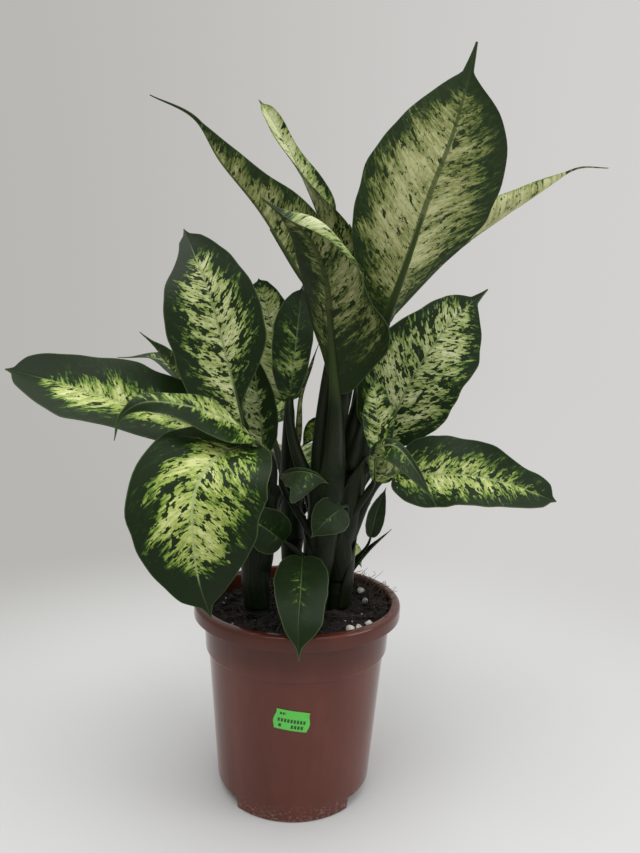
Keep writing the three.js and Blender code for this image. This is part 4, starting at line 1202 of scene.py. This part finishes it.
def scatterPerlite():
    dice = random.Random(3)
    bm = bmesh.new()
    seen = perlite["seen"]
    places = seen + [scatterPlace(dice, perlite["inside"]) for _ in range(perlite["count"])]
    for i, (x, y) in enumerate(places):
        size = dice.uniform(*perlite["seenRadius" if i < len(seen) else "radius"])
        shift = Matrix.Translation(Vector((x, y, soilSurface(x, y) + size * 0.5)) * mm)
        made = bmesh.ops.create_icosphere(bm, subdivisions=2, radius=size * mm, matrix=shift)["verts"]
        for vertex in made:
            dent = noise.noise(vertex.co * 700) * perlite["dents"] * size * mm
            vertex.co += (vertex.co - shift.translation).normalized() * dent
    finishPiece("perlite", bm, [crumbly("perliteGrain")])


makeSoil()
scatterBark()
scatterFibres()
scatterPerlite()
print("soil laid")


# Stage: a pale floor that greys with distance, even grey light, and two soft lamps.
# The fade is from the floor's tone to the air's, in metres from the pot. Overhead the air is brighter.
studio = {
    "floor": "#cdcecf", "left": "#b7b6b2", "right": "#d2d1cf", "fade": [0.2, 0.75],
    "overhead": [0.45, 0.95], "zenith": 2.2,
}
lamps = [  # name, place, size and power
    ["softTop", (-0.4, -0.5, 1.9), 1.4, 14],
    ["softRight", (1.3, -0.4, 0.9), 0.8, 5],
]


def airColour(add, heading):
    # the wall's tone, lighter to the right
    aside = add("SeparateXYZ", [heading]).outputs[0]
    aside = add("MapRange", [aside, -0.5, 0.5], **eased)
    tones = {0: aside, 6: srgb(studio["left"]), 7: srgb(studio["right"])}
    return add("Mix", tones, data_type="RGBA").outputs[2]


def makeStage():
    bm = bmesh.new()
    bmesh.ops.create_circle(bm, cap_ends=True, segments=96, radius=8)
    mesh = bpy.data.meshes.new("floor")
    bm.to_mesh(mesh)
    bm.free()
    floor = newObject("floor", mesh)
    floor.location.z = -0.0003
    material, add, feedShader = newMaterial("paperBackdrop")
    place = add("TexCoord").outputs["Object"]
    feedShader({"Base Color": srgb(studio["floor"]), "Roughness": 0.8})
    # far out the paper has the air's own tone, so no horizon shows
    heading = add("VectorMath", [place], operation="NORMALIZE")
    glow = add("Emission", {"Color": airColour(add, heading)})
    reach = add("VectorMath", [place], operation="LENGTH").outputs["Value"]
    faded = add("MapRange", [reach, *studio["fade"]], **eased)
    tree = material.node_tree
    both = add("MixShader", [faded, tree.nodes["Principled BSDF"], glow])
    feed(tree, tree.nodes["Material Output"], {"Surface": both})
    mesh.materials.append(material)
    world = bpy.data.worlds.new("air")
    world.use_nodes = True
    tree = world.node_tree
    add = partial(addNode, tree)
    heading = add("TexCoord").outputs["Generated"]
    upward = add("SeparateXYZ", [heading]).outputs[2]
    strength = add("MapRange", [upward, *studio["overhead"], 1, studio["zenith"]], **eased)
    feed(tree, tree.nodes["Background"], {"Color": airColour(add, heading), "Strength": strength})
    bpy.context.scene.world = world
    for name, place, size, power in lamps:
        data = bpy.data.lights.new(name, "AREA")
        data.shape, data.size, data.energy = "DISK", size, power
        lamp = newObject(name, data)
        aim = Vector((0, 0, 0.3)) - Vector(place)
        lamp.matrix_world = Matrix.Translation(place) @ aim.to_track_quat("-Z", "Y").to_matrix().to_4x4()


makeStage()
print("stage set")
